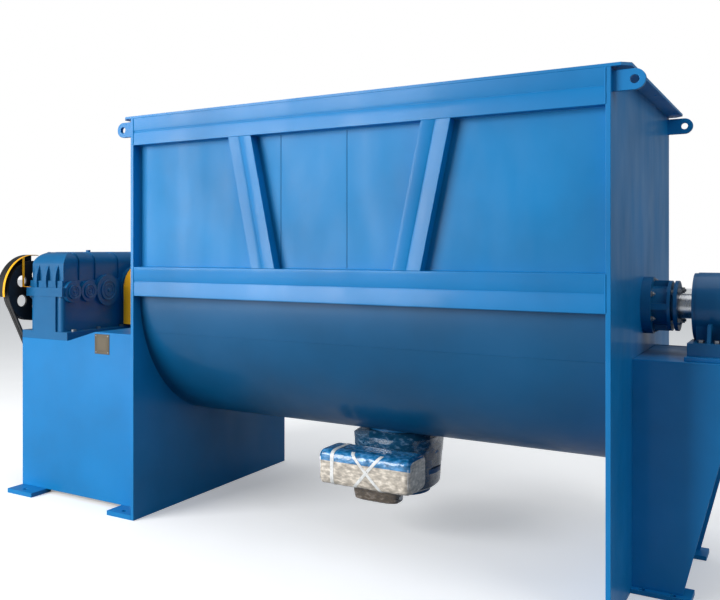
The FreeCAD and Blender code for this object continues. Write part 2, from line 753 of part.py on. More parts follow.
def make_gears():
    g = gearbox_x
    inside = gearbox_half - gearbox_wall
    outside = gearbox_half + cover_boss
    journals = gearbox_journal
    spans = [(g + middle - width / 2, g + middle + width / 2)
             for middle, width in zip(stage_middle, stage_width)]
    pinions, wheels = [], []
    for i, (x0, x1) in enumerate(spans):
        pinions.append(gear_x(x0 - pinion_overlap, x1 + pinion_overlap, stage_module[i],
                              pinion_teeth[i], shaft_places[i], 0))
        gear = gear_x(x0, x1, stage_module[i], wheel_teeth[i], shaft_places[i + 1],
                      180 + 180 / wheel_teeth[i])
        seat = (journal_radius if i == 2 else journals[i + 1]) + wheel_seat
        wheels.append(gear.cut(rod_x(x0, x1, seat + running_fit, shaft_places[i + 1])))
    end = outside - shaft_end_gap
    starts = (pulley_left, g - end, g - end)
    for i, name in enumerate(("input_pinion_shaft", "second_pinion_shaft", "third_pinion_shaft")):
        shaft = join(rod_x(starts[i], g + end, journals[i], shaft_places[i]), pinions[i])
        if i > 0:
            x0, x1 = spans[i - 1]
            shaft = join(shaft, rod_x(x0, x1, journals[i] + wheel_seat, shaft_places[i]))
        save(name, shaft)
    save("second_wheel", wheels[0])
    save("third_wheel", wheels[1])
    save("output_wheel", wheels[2])
    x0, x1 = spans[2]
    save("output_shaft", join(rod_x(g - end, gear_coupling_face, journal_radius),
                              rod_x(x0, x1, journal_radius + wheel_seat)))
    rings = []
    for radius, journal, y in zip(bearing_radius, journals + (journal_radius,), shaft_places):
        ring = ring_x(g + inside, g + outside, radius - running_fit, journal + running_fit, y)
        rings += [ring, across_gearbox(ring)]
    return rings


def rounded_box(half, y0, y1, z0, z1, side_radius, end_radius):
    """A cover rounded over along its two long top edges and at its two ends."""
    g = gearbox_x
    long_part = block(g - half, g + half, y0, y1, z0, z1)
    edges = [e for e in long_part.Edges if abs(e.BoundBox.YLength - (y1 - y0)) < 1e-6
             and e.BoundBox.ZMin > z1 - 1e-6]
    long_part = long_part.makeFillet(side_radius, edges)
    cross_part = block(g - half, g + half, y0, y1, z0, z1)
    edges = [e for e in cross_part.Edges if abs(e.BoundBox.XLength - 2 * half) < 1e-6
             and e.BoundBox.ZMin > z1 - 1e-6]
    return long_part.common(cross_part.makeFillet(end_radius, edges))


def make_gearbox():
    g = gearbox_x
    z0, z1 = pedestal_top, pedestal_top + base_flange
    y0, y1 = -gearbox_front, gearbox_rear
    wall = gearbox_wall
    outside = gearbox_half + cover_boss
    bosses = [rod_x(g - outside, g + outside, r, y) for r, y in zip(cover_radius, shaft_places)]
    bores = [rod_x(g - outside, g + outside, r, y) for r, y in zip(bearing_radius, shaft_places)]
    for r, y in zip(cover_radius, shaft_places):
        spot = rod_x(g + outside, g + gearbox_half + split_flange_lip, r + seat_gap, y)
        bores += [spot, across_gearbox(spot)]

    def end_lips(low, high):
        reach = gearbox_half + split_flange_lip
        return (block(g - reach, g + reach, y0 - split_flange_lip, y0 + split_flange_tail, low, high),
                block(g - reach, g + reach, y1 - split_flange_tail, y1 + split_flange_lip, low, high))

    lip = base_flange_lip
    body = block(g - gearbox_half, g + gearbox_half, y0, y1, z1, shaft_height)
    corners = [e for e in body.Edges if abs(e.BoundBox.ZLength - (shaft_height - z1)) < 1e-6]
    body = body.makeFillet(housing_corner, corners)
    below = block(g - 2 * outside, g + 2 * outside, 2 * y0, 2 * y1, 0, shaft_height)
    lower = join(body, block(g - base_flange_half, g + base_flange_half, y0 - lip, y1 + lip, z0, z1),
                 block(g - column_half, g + column_half, y0 - lip, y0 + wall, z1,
                       shaft_height - split_flange),
                 *end_lips(shaft_height - split_flange, shaft_height),
                 *[boss.common(below) for boss in bosses])
    cavity = block(g - gearbox_half + wall, g + gearbox_half - wall, y0 + wall, y1 - wall,
                   z0 + housing_floor, shaft_height)
    for cut in [cavity] + bores:
        lower = lower.cut(cut)
    save("gearbox_lower_housing", lower)

    top = shaft_height + gearbox_top
    band = shaft_height + bearing_band
    half = gearbox_half - dome_inset
    core_top = top - dome_rib
    cover = rounded_box(half, y0 + dome_inset, y1 - dome_inset, band, core_top,
                        shoulder_radius, dome_end_radius)
    upper = join(block(g - gearbox_half, g + gearbox_half, y0, y1, shaft_height, band), cover,
                 *end_lips(shaft_height, shaft_height + split_flange),
                 *[boss.cut(below) for boss in bosses])
    whole = rounded_box(half + dome_rib, y0 + dome_inset - dome_rib, y1 - dome_inset + dome_rib,
                        band, top, shoulder_radius + dome_rib, dome_end_radius + dome_rib)
    for a, b in dome_bands:
        upper = upper.fuse(whole.common(block(g - 2 * half, g + 2 * half, a, b, band, top)))
    for x in ear_places:
        toe = Vector(g + x - ear_thickness / 2, y0 - split_flange_lip / 2, shaft_height + split_flange)
        crown = Vector(toe.x, y0 + ear_reach, top)
        waist = Vector(toe.x, y0 + ear_waist, toe.z + (crown.z - toe.z) * ear_waist_height)
        heel = Vector(toe.x, crown.y, toe.z)
        outline = Part.Wire([Part.Arc(toe, waist, crown).toShape(), Part.makeLine(crown, heel),
                             Part.makeLine(heel, toe)])
        upper = upper.fuse(Part.Face(outline).extrude(Vector(ear_thickness, 0, 0)))
    upper = upper.fuse(rod_z(core_top, top + breather_height, breather_radius, g, breather_y))
    hollow = rounded_box(half - wall, y0 + dome_inset + wall, y1 - dome_inset - wall, shaft_height,
                         core_top - wall, hollow_shoulder_radius, dome_end_radius - wall)
    for cut in [hollow] + bores:
        upper = upper.cut(cut)
    save("gearbox_upper_housing", upper.removeSplitter())

    covers = []
    x = g + outside
    for i, (radius, y) in enumerate(zip(cover_radius, shaft_places)):
        t = cover_plate
        centre = radius * cover_centre
        closed = [(x, 0), (x, radius), (x + cover_rim, radius), (x + cover_rim, centre),
                  (x + t, centre), (x + t, 0)]
        cover = turn_x(closed, y)
        journal = (gearbox_journal + (journal_radius,))[i] + shaft_end_gap
        open_cover = cover.cut(rod_x(x, x + t, journal, y))
        near, far = (open_cover, cover) if i == 3 else (cover, open_cover if i == 0 else cover)
        covers += [near, across_gearbox(far)]
    save("gearbox_covers", *covers)


# ---------------------------------------------------------------- belt drive and motor
def pulley(radius, y, z, bore):
    """A grooved pulley, solid behind, with a recess on its outer side if it is a large one."""
    x0, x1 = pulley_left, pulley_right
    rim, hub = radius - pulley_rim, bore + pulley_hub
    top_half = belt_top_width / 2 + seat_gap
    root_half = belt_root_width / 2 + seat_gap
    outline = [(x0, radius)]
    for x in belt_places:
        outline += [(x - top_half, radius), (x - root_half, radius - groove_depth),
                    (x + root_half, radius - groove_depth), (x + top_half, radius)]
    outline += [(x1, radius), (x1, bore), (x0, bore)]
    if rim > hub + pulley_web:
        web = x1 - pulley_web
        outline += [(x0, hub), (web, hub), (web, rim), (x0, rim)]
    return turn_x(outline, y, z)


def belt_section(x, y, z, radius, angle):
    across = Vector(0, math.cos(angle), math.sin(angle))
    centre = Vector(x, y, z)
    side = Vector(1, 0, 0)
    low, high = radius - belt_height, radius
    corners = [centre + across * low - side * (belt_root_width / 2),
               centre + across * high - side * (belt_top_width / 2),
               centre + across * high + side * (belt_top_width / 2),
               centre + across * low + side * (belt_root_width / 2)]
    return Part.Face(Part.makePolygon(corners + corners[:1]))


def loop_angles(radius_a, radius_b):
    dy, dz = motor_y - input_y, motor_height - shaft_height
    line = math.atan2(dz, dy)
    return line, math.acos((radius_a - radius_b) / math.hypot(dy, dz))


def make_belt_drive():
    y, z = input_y, shaft_height
    driven = pulley(pulley_radius, y, z, gearbox_journal[0] + running_fit)
    hole = rod_x(pulley_left, pulley_right, pulley_hole_radius, y + pulley_hole_circle, z)
    for cut in around_x(hole, pulley_holes, y, z):
        driven = driven.cut(cut)
    save("driven_pulley", driven)
    save("motor_pulley", pulley(motor_pulley_radius, motor_y, motor_height,
                                motor_shaft_radius + running_fit))
    line, wrap = loop_angles(pulley_radius, motor_pulley_radius)
    belts = []
    axis = Vector(1, 0, 0)
    for x in belt_places:
        parts = [belt_section(x, y, z, pulley_radius, line + wrap).revolve(
                     Vector(0, y, z), axis, 360 - 2 * math.degrees(wrap)),
                 belt_section(x, motor_y, motor_height, motor_pulley_radius, line - wrap).revolve(
                     Vector(0, motor_y, motor_height), axis, 2 * math.degrees(wrap))]
        for angle in (line + wrap, line - wrap):
            across = Vector(0, math.cos(angle), math.sin(angle))
            run = (Vector(0, motor_y, motor_height) + across * motor_pulley_radius
                   - Vector(0, y, z) - across * pulley_radius)
            parts.append(belt_section(x, y, z, pulley_radius, angle).extrude(run))
        belts.append(join(*parts))
    save("v_belts", *belts)

    # guard: a band over the top of the driven pulley, a crescent behind it, and a bracket
    # that stands on the gearbox's split flange beside the pulley
    x0, x1 = machine_left, pulley_right + guard_bracket_gap + guard_sheet
    outer, inner = guard_radius, guard_radius - guard_sheet
    band = ring_x(x0, x1, outer, inner, y, z)
    crescent = ring_x(x0, x0 + guard_sheet, inner, guard_crescent_radius, y, z)
    keep = block(x0, x1, y - outer, y + guard_end, z - guard_drop, z + outer)
    foot_z = shaft_height + split_flange
    bracket_y = -gearbox_front - split_flange_lip
    bracket = block(x1 - guard_sheet, x1, bracket_y, bracket_y + guard_bracket, foot_z, z + outer)
    bracket = bracket.common(rod_x(x1 - guard_sheet, x1, inner + guard_sheet / 2, y, z))
    foot = block(x1 - guard_sheet, gearbox_x - gearbox_half - split_flange_lip + guard_foot,
                 bracket_y, bracket_y + guard_bracket, foot_z, foot_z + guard_sheet)
    save("belt_guard", join(band.fuse(crescent).common(keep), bracket, foot))

    # motor inside the pedestal
    y, z = motor_y, motor_height
    x0 = pedestal_left + pedestal_sheet + motor_inset
    x1 = x0 + motor_length
    x2 = x1 + fan_cover_length
    fins = rod_x(x0 + motor_shield, x1 - motor_shield, motor_radius, y, z)
    body = join(fins, rod_x(x0, x1, motor_radius - motor_shield_step, y, z),
                block(x0 + motor_shield, x1 - motor_shield, y - motor_foot_half, y + motor_foot_half,
                      z - motor_foot_height, z - motor_foot_height + motor_foot),
                block(x0 + motor_shield, x1 - motor_shield, y - motor_foot_half / 2,
                      y + motor_foot_half / 2, z - motor_foot_height, z),
                block(x0 + 2 * motor_shield, x0 + 2 * motor_shield + terminal_length,
                      y - terminal_length / 2, y + terminal_length / 2,
                      z, z + motor_radius + terminal_rise))
    body = body.cut(rod_x(x0, x1, motor_shaft_radius + running_fit, y, z))
    cover = rod_x(x1, x2, motor_radius - motor_shield_step, y, z)
    cover = cover.cut(rod_x(x1, x2 - guard_sheet, motor_radius - motor_shield_step - guard_sheet, y, z))
    save("motor_body", body, cover)
    fan = rod_x(x1 + fan_gap, x2 - 2 * fan_gap, fan_hub_radius, y, z)
    blade = block(x1 + fan_gap, x2 - 2 * fan_gap, y - guard_sheet, y + guard_sheet,
                  z, z + motor_radius - motor_shield_step - guard_sheet - fan_gap)
    fan = join(fan, *around_x(blade, fan_blades, y, z))
    save("motor_shaft", join(rod_x(pulley_left, x1 + fan_gap, motor_shaft_radius, y, z), fan))
    low = z - motor_foot_height
    rails = [block(x0 + motor_shield + a, x0 + motor_shield + a + motor_rail, y - motor_rail_half,
                   y + motor_rail_half, 0, low)
             for a in (0, motor_length - 2 * motor_shield - motor_rail)]
    save("motor_rails", *rails)


# ---------------------------------------------------------------- coupling and its guard
def make_coupling():
    z = shaft_height
    right = shaft_left + coupling_half_length + coupling_hub_length
    middle_gap = coupling_gap / 2
    face = gear_coupling_face + middle_gap
    disc = rod_x(shaft_left, shaft_left + coupling_half_length, coupling_radius)
    hub = rod_x(shaft_left + coupling_half_length, right, coupling_hub_radius)
    half = join(disc, hub)
    pins = []
    for i in range(coupling_pins):
        a = 2 * math.pi * i / coupling_pins
        y, h = pin_circle * math.cos(a), z + pin_circle * math.sin(a)
        half = half.cut(bar_x(shaft_left, right, pin_radius + running_fit, y, h))
        pins.append(bar_x(face - coupling_half_length, face + coupling_half_length, pin_radius, y, h))
    half = half.cut(rod_x(shaft_left, right, journal_radius + running_fit))
    other = half.mirror(Vector(face, 0, 0), Vector(1, 0, 0))
    save("coupling_halves", half, other)
    save("coupling_pins", *pins)

    x0 = gearbox_x + gearbox_half + cover_boss + cover_plate + coupling_guard_end
    x1 = plummer_left + plummer_width + plummer_gap / 2
    outer, inner = coupling_guard_radius, coupling_guard_radius - guard_sheet
    low = platform_top
    arch = join(rod_x(x0, x1, outer), block(x0, x1, -outer, outer, low, z))
    arch = arch.cut(rod_x(x0, x1, inner)).cut(block(x0, x1, -inner, inner, low, z))
    save("coupling_guard", arch)


# ---------------------------------------------------------------- discharge valve
def make_discharge():
    shell = rod_x(-outlet_flange_radius * 2, outlet_flange_radius * 2, shell_outside)
    outer = outlet_bore + outlet_wall
    neck = join(rod_z(valve_top, shaft_height, outer),
                rod_z(valve_top, valve_top + outlet_flange, outlet_flange_radius))
    neck = neck.cut(shell).cut(rod_z(valve_top, shaft_height, outlet_bore))
    stub = join(rod_z(outlet_end, valve_bottom, outer),
                rod_z(valve_bottom - outlet_flange, valve_bottom, outlet_flange_radius))
    stub = stub.cut(rod_z(outlet_end, valve_bottom, outlet_bore))
    bolts = []
    low, high = valve_bottom - outlet_flange, valve_top + outlet_flange
    for i in range(outlet_bolts):
        a = 2 * math.pi * (i + 0.5) / outlet_bolts
        x, y = outlet_bolt_circle * math.cos(a), outlet_bolt_circle * math.sin(a)
        hole = bar_z(low, high, outlet_bolt_radius + seat_gap, x, y)
        neck, stub = neck.cut(hole), stub.cut(hole)
        bolts.append(join(bar_z(low - nut_height, high + nut_height, outlet_bolt_radius, x, y),
                          nut_z(low - nut_height, x, y), nut_z(high, x, y)))
    save("outlet_spools", neck, stub)

    z = valve_axis
    body = join(rod_z(valve_bottom, valve_top, valve_radius),
                rod_y(-valve_neck_end, 0, valve_neck_radius, 0, z),
                rod_y(0, valve_radius + valve_tail, valve_neck_radius, 0, z),
                block(-actuator_pad_half, actuator_pad_half, -valve_neck_end - actuator_pad,
                      -valve_neck_end, z - actuator_pad_height / 2, z + actuator_pad_height / 2))
    body = body.cut(rod_z(0, shaft_height, outlet_bore))
    stem_hole = rod_y(-valve_neck_end - actuator_pad, valve_radius, stem_radius + running_fit, 0, z)
    body = body.cut(stem_hole)
    save("valve_body", body)
    seat = outlet_bore - seat_sheet
    save("valve_seat", ring_z(valve_bottom, valve_top, outlet_bore, seat).cut(stem_hole))
    disc_radius = seat - disc_gap
    disc = join(rod_z(z - disc_rim / 2, z + disc_rim / 2, disc_radius),
                rod_y(-disc_boss_end, disc_boss_end, disc_thickness / 2 + stem_radius / 2, 0, z))
    disc = disc.cut(rod_y(-disc_radius, disc_radius, stem_radius + running_fit, 0, z))
    save("valve_disc", disc)

    # actuator: a cylinder along x with a rack piston each side of a pinion on the valve stem
    y1 = -valve_neck_end - actuator_pad
    y0 = y1 - actuator_depth
    middle = (y0 + y1) / 2
    half = actuator_length / 2
    body = block(-half, half, y0, y1, z - actuator_height / 2, z + actuator_height / 2)
    body = body.makeFillet(actuator_corner, [e for e in body.Edges
                                             if abs(e.BoundBox.XLength - 2 * half) < 1e-6])
    cap = body.copy()
    body = body.cut(rod_x(-half, half, piston_radius + running_fit, middle, z))
    body = body.cut(rod_y(middle, y1, stem_radius + seat_gap, 0, z))
    chamber = pinion_module * (pinion_count / 2 + addendum) + pinion_clearance
    body = body.cut(rod_y(y0, y1, chamber, 0, z).common(
        block(-half, half, y0 + actuator_pad, y1 - actuator_pad, 0, 2 * z)))
    save("actuator_body", body)
    cap = cap.common(block(half - actuator_cap, half, y0, y1, 0, 2 * z))
    cap.translate(Vector(actuator_cap, 0, 0))
    save("actuator_caps", cap, mirrored_x(cap))

    pitch = pinion_module * pinion_count / 2
    teeth = gear_teeth_y(pinion_module, pinion_count, middle, rack_width + 2 * pinion_overlap, z)
    teeth = teeth.cut(rod_y(y0, y1, stem_radius + running_fit, 0, z))
    save("actuator_pinion", teeth)
    save("valve_stem", rod_y(middle - rack_width / 2 - pinion_overlap, valve_radius - seat_sheet,
                             stem_radius, 0, z))
    step = math.pi * pinion_module
    back = pitch + dedendum * pinion_module
    right = rack_piston(z, middle, back, step)
    save("piston_right", right)
    left = right.copy()
    left.rotate(Vector(0, middle, z), Vector(0, 1, 0), 180)
    save("piston_left", left)

    low = z - actuator_height / 2
    x0, x1 = air_block_offset - air_block_length / 2, air_block_offset + air_block_length / 2
    valve = block(x0, x1, middle - air_block_depth / 2, middle + air_block_depth / 2,
                  low - air_block_height, low)
    coils = [rod_x(x1, x1 + air_coil_length, air_coil_radius, middle, low - air_block_height / 2),
             rod_x(x0 - air_coil_length, x0, air_coil_radius, middle, low - air_block_height / 2)]
    save("air_valve", join(valve, *coils))
    return bolts


def gear_teeth_y(module, teeth, y, width, z):
    """A pinion about a line along y with one tooth pointing straight up."""
    gear = gear_x(-width / 2, width / 2, module, teeth, 0, 90)
    gear.rotate(Vector(0, 0, shaft_height), Vector(0, 0, 1), 90)
    gear.translate(Vector(0, y, z - shaft_height))
    return gear


def rack_piston(z, y, back, step):
    """The right-hand piston with its rack above the pinion."""
    pitch = pinion_module * pinion_count / 2
    tip = pitch - addendum * pinion_module
    slope = math.tan(math.radians(pressure_angle))
    tooth = step * tooth_share / 2
    x_end = -step * (rack_lead + 0.5)
    x_start = piston_rest
    points = [(x_end - tooth, z + back + rack_back), (x_end - tooth, z + back)]
    for i in range(rack_teeth):
        x = x_end + step * i
        wide = tooth + (back - pitch) * slope
        thin = tooth - (pitch - tip) * slope
        points += [(x - wide, z + back), (x - thin, z + tip), (x + thin, z + tip), (x + wide, z + back)]
    points += [(x_start, z + back), (x_start, z + back + rack_back)]
    clean = [points[0]] + [b for a, b in zip(points, points[1:]) if abs(a[0] - b[0])
                           + abs(a[1] - b[1]) > 1e-6]
    rack = prism([(x, y - rack_width / 2, h) for x, h in clean], (0, rack_width, 0))
    return join(rack, rod_x(x_start, x_start + piston_length, piston_radius, y, z))


# ---------------------------------------------------------------- bolts
def make_bolts(outlet_set):
    g = gearbox_x
    bolts = list(outlet_set)
    z = pedestal_top + base_flange
    x = (gearbox_half + base_flange_half) / 2
    for side in (-x, x):
        for y in base_bolt_places:
            bolts.append(nut_z(z, g + side, y))
    z = housing_block_top
    middle = right_face + housing_offset + housing_length / 2
    for x in (-housing_rib_spread, 0, housing_rib_spread):
        for y in (-housing_bolt_line, housing_bolt_line):
            bolts.append(nut_z(z, middle + x, y))
    z = platform_top + plummer_foot
    for y in (-plummer_bolt_line, plummer_bolt_line):
        bolts.append(nut_z(z, plummer_left + plummer_width / 2, y))
    save("hex_bolts", *bolts)


make_trough()
make_rails()
make_top_flange()
make_lifting_lugs()
make_rotor()
make_seals()
outer_rings = make_main_bearings()
make_outboard_pedestal()
make_drive_pedestal()
gearbox_rings = make_gears()
save("bearing_outer_rings", *outer_rings, *gearbox_rings)
make_gearbox()
make_belt_drive()
make_coupling()
make_bolts(make_discharge())
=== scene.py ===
# %% [markdown]
# # A ribbon blender in its workshop blue
# The construction comes packed from CAD: every plate, shaft, gear and ribbon at its real
# size. This file adds what a CAD solid lacks, which is the finish of each surface, the weld
# beads, the small bolts, and the film and tape that the discharge valve was wrapped in.

# %% Load the construction
import math

import bpy
import bmesh
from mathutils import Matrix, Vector, noise
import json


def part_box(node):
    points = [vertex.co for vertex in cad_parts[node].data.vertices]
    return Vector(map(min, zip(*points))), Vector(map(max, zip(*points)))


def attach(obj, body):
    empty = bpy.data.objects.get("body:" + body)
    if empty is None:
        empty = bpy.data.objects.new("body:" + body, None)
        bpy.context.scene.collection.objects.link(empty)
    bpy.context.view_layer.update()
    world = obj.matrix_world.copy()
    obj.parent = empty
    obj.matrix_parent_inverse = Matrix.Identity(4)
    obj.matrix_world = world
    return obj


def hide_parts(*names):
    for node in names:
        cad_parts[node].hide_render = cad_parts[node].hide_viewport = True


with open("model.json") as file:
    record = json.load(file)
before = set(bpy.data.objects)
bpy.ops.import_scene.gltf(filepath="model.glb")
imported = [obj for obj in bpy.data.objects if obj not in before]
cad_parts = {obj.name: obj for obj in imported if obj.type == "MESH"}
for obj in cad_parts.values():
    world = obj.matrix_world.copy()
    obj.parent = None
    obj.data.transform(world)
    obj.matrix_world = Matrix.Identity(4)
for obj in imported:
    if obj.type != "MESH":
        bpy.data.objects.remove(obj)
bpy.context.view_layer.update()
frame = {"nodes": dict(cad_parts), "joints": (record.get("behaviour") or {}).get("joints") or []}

# %% [markdown]
# Everything is placed from the construction. The joints give each shaft's axis exactly, and
# the boxes of the end plates give the trough, so no place is typed in twice.

# %% Find the axes and the main planes
axis_at = {joint["name"]: Vector(joint["pos_m"]) for joint in frame["joints"] if "pos_m" in joint}
left_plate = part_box("end_plate_left")
right_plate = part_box("end_plate_right")
FRONT = left_plate[0].y
LEFT = left_plate[0].x
RIGHT = right_plate[1].x
TROUGH_LEFT = left_plate[1].x
TROUGH_RIGHT = right_plate[0].x
MIDDLE_X = (TROUGH_LEFT + TROUGH_RIGHT) / 2
SHAFT = axis_at["rotor_spin"]
print("shaft axis", [round(v, 3) for v in SHAFT])
print("trough from", round(TROUGH_LEFT, 3), "to", round(TROUGH_RIGHT, 3))

# %% [markdown]
# ## Small helpers
# A material is a small node tree. Each finish below asks for a few of the same things, such
# as a noise pattern in the object's own space, a ramp of two colours and a bump, so these
# are written once.

# %% Start a material and add nodes to it
def new_finish(name):
    material = bpy.data.materials.new(name)
    material.use_nodes = True
    return material, material.node_tree.nodes, material.node_tree.links


def pattern(nodes, links, scale, detail=4.0, stretch=(1.0, 1.0, 1.0)):
    """Noise in the object's own space, which is in metres."""
    place = nodes.new("ShaderNodeTexCoord")
    spread = nodes.new("ShaderNodeMapping")
    spread.inputs["Scale"].default_value = stretch
    grain = nodes.new("ShaderNodeTexNoise")
    grain.inputs["Scale"].default_value = scale
    grain.inputs["Detail"].default_value = detail
    links.new(place.outputs["Object"], spread.inputs["Vector"])
    links.new(spread.outputs["Vector"], grain.inputs["Vector"])
    return grain.outputs["Fac"]


def ramp(nodes, links, value, stops):
    """Turn a value into a colour. Each stop is (position, (r, g, b))."""
    band = nodes.new("ShaderNodeValToRGB")
    band.color_ramp.elements[0].position = stops[0][0]
    band.color_ramp.elements[0].color = (*stops[0][1], 1.0)
    band.color_ramp.elements[1].position = stops[-1][0]
    band.color_ramp.elements[1].color = (*stops[-1][1], 1.0)
    for position, colour in stops[1:-1]:
        band.color_ramp.elements.new(position).color = (*colour, 1.0)
    links.new(value, band.inputs["Fac"])
    return band.outputs["Color"]


def grey(level):
    return (level, level, level)


def add_bump(nodes, links, shader, value, strength, distance, under=None):
    bump = nodes.new("ShaderNodeBump")
    bump.inputs["Strength"].default_value = strength
    bump.inputs["Distance"].default_value = distance
    links.new(value, bump.inputs["Height"])
    if under is not None:
        links.new(under, bump.inputs["Normal"])
    links.new(bump.outputs["Normal"], shader.inputs["Normal"])
    return bump.outputs["Normal"]


def mixed(nodes, links, factor, one, other):
    mix = nodes.new("ShaderNodeMix")
    mix.data_type = "RGBA"
    links.new(factor, mix.inputs["Factor"])
    links.new(one, mix.inputs[6])
    links.new(other, mix.inputs[7])
    return mix.outputs[2]


print("helpers ready")

# %% [markdown]
# ## Paint
# The machine is sprayed with a glossy enamel. Real enamel on plate is never one colour: it
# lies a little thicker in one place than another, dust settles in it, and it carries the
# fine ripple that painters call orange peel. A thin clear coat layer gives some gloss over a
# rougher colour coat. Its reflection is kept weak, because a strong white reflection turns a
# deep blue pale. Castings are painted over a sand-cast skin, so they get a coarser bump.

# %% Enamel, for plate and for castings
PAINT_SPECULAR = 0.22
YELLOW = (1.000, 0.470, 0.010)


def enamel(name, colour, roughness, coat, peel, cast=0.0):
    material, nodes, links = new_finish(name)
    shader = nodes["Principled BSDF"]
    deep = tuple(c * 0.84 for c in colour)
    light = tuple(min(1.0, c * 1.10 + 0.004) for c in colour)
    clouds = pattern(nodes, links, 1.7, 5.0)
    body = ramp(nodes, links, clouds, [(0.34, deep), (0.52, colour), (0.70, light)])
    specks = pattern(nodes, links, 90.0, 3.0)
    dusty = tuple(0.92 * c + 0.08 * d for c, d in zip(colour, (0.10, 0.16, 0.20)))
    dust_mask = ramp(nodes, links, specks, [(0.66, grey(0.0)), (0.78, grey(0.5))])
    dust = nodes.new("ShaderNodeRGB")
    dust.outputs[0].default_value = (*dusty, 1.0)
    colour_out = mixed(nodes, links, dust_mask, body, dust.outputs[0])
    links.new(colour_out, shader.inputs["Base Color"])
    smears = pattern(nodes, links, 6.0, 6.0, (1.0, 1.0, 0.35))
    gloss = ramp(nodes, links, smears, [(0.3, grey(roughness * 0.8)), (0.7, grey(roughness * 1.3))])
    links.new(gloss, shader.inputs["Roughness"])
    shader.inputs["Specular IOR Level"].default_value = PAINT_SPECULAR
    shader.inputs["Coat Weight"].default_value = coat
    shader.inputs["Coat Roughness"].default_value = 0.12
    ripple = add_bump(nodes, links, shader, pattern(nodes, links, 260.0, 2.0), peel, 0.0004)
    if cast > 0.0:
        add_bump(nodes, links, shader, pattern(nodes, links, 70.0, 6.0), cast, 0.0012, ripple)
    return material


BLUE = (0.0010, 0.190, 0.490)
plate_blue = enamel("plate_blue", BLUE, 0.42, 0.14, 0.08)
wall_blue = enamel("wall_blue", (0.0010, 0.200, 0.490), 0.50, 0.05, 0.06)
# The trough shell's blue is the frame's blue darkened: painted shade for the underside of the trough,
# which faces down away from the lamps.
shaded_trough_blue = enamel("shaded_trough_blue", (0.0005, 0.085, 0.215), 0.38, 0.16, 0.06)
cast_blue = enamel("cast_blue", (0.0015, 0.115, 0.290), 0.42, 0.18, 0.10, cast=0.22)
motor_blue = enamel("motor_blue", (0.003, 0.090, 0.220), 0.46, 0.15, 0.12, cast=0.25)
guard_yellow = enamel("guard_yellow", YELLOW, 0.40, 0.15, 0.08)
black_iron = enamel("black_iron", (0.010, 0.011, 0.013), 0.42, 0.30, 0.12, cast=0.30)
print("plain paints", len(bpy.data.materials))

# %% [markdown]
# The belt guard is black with a yellow near edge. Masking tape would give a sharp line there,
# so the paint changes at one place along the shaft, in the guard's own space. That keeps the
# line on the guard from every side.

# %% Two paints on the belt guard
def edged_enamel(name, near_edge, rim):
    """Yellow from the near edge back to the width of the rim, and sooty black behind it."""
    material = enamel(name, YELLOW, 0.40, 0.15, 0.08)
    nodes, links = material.node_tree.nodes, material.node_tree.links
    shader = nodes["Principled BSDF"]
    painted = shader.inputs["Base Color"].links[0].from_socket
    place = nodes.new("ShaderNodeTexCoord")
    split = nodes.new("ShaderNodeSeparateXYZ")
    links.new(place.outputs["Object"], split.inputs["Vector"])
    edge = nodes.new("ShaderNodeMath")
    edge.operation = "GREATER_THAN"
    edge.inputs[1].default_value = near_edge - rim
    links.new(split.outputs["X"], edge.inputs[0])
    soot = ramp(nodes, links, pattern(nodes, links, 20.0), [(0.3, grey(0.006)), (0.7, grey(0.014))])
    links.new(mixed(nodes, links, edge.outputs[0], soot, painted), shader.inputs["Base Color"])
    return material


GUARD_RIM = 0.016
GUARD_BRACKET_GAP = 0.008
edged_guard = edged_enamel("edged_guard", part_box("driven_pulley")[1].x + GUARD_BRACKET_GAP, GUARD_RIM)
print("paints", len(bpy.data.materials))

# %% [markdown]
# ## Bare metals
# A turned shaft shows fine rings round its axis, while rolled strip has a dull grey mill
# skin with rubbed patches. Both are metals with a rough and a smooth share. The turned one
# gets its rings by squeezing the noise along the shaft.

# %% Turned, rolled, cut and polished metals
def metal(name, colour, low, high, scale, stretch, bump, detail=5.0):
    material, nodes, links = new_finish(name)
    shader = nodes["Principled BSDF"]
    shader.inputs["Metallic"].default_value = 1.0
    marks = pattern(nodes, links, scale, detail, stretch)
    dark = tuple(c * 0.78 for c in colour)
    links.new(ramp(nodes, links, marks, [(0.3, dark), (0.7, colour)]), shader.inputs["Base Color"])
    links.new(ramp(nodes, links, marks, [(0.3, grey(low)), (0.7, grey(high))]),
              shader.inputs["Roughness"])
    add_bump(nodes, links, shader, marks, bump, 0.0003)
    return material


turned_steel = metal("turned_steel", (0.56, 0.57, 0.58), 0.22, 0.38, 30.0, (14.0, 1.0, 1.0), 0.12)
rolled_steel = metal("rolled_steel", (0.36, 0.36, 0.37), 0.38, 0.60, 14.0, (1.0, 1.0, 1.0), 0.20)
gear_steel = metal("gear_steel", (0.44, 0.44, 0.45), 0.28, 0.44, 60.0, (5.0, 1.0, 1.0), 0.10)
ring_steel = metal("ring_steel", (0.70, 0.71, 0.72), 0.10, 0.22, 24.0, (10.0, 1.0, 1.0), 0.05)
bolt_steel = metal("bolt_steel", (0.30, 0.31, 0.32), 0.32, 0.55, 120.0, (1.0, 1.0, 1.0), 0.20)
anodised = metal("anodised", (0.60, 0.61, 0.62), 0.34, 0.46, 200.0, (1.0, 1.0, 1.0), 0.06)
disc_steel = metal("disc_steel", (0.62, 0.63, 0.64), 0.20, 0.34, 40.0, (1.0, 6.0, 1.0), 0.08)
plate_bronze = metal("plate_bronze", (0.105, 0.090, 0.068), 0.34, 0.62, 38.0, (1.0, 1.0, 1.0), 0.55)
print("metals ready")

# %% [markdown]
# ## Rubber, packing and film
# Belts and the valve seat are matt black rubber. Gland packing is braided cord, so it gets a
# crossed wave pattern. The shipping film is a thin clear plastic pulled tight in folds: it
# is mostly reflection and creases, with the thing behind it showing through as a tint.

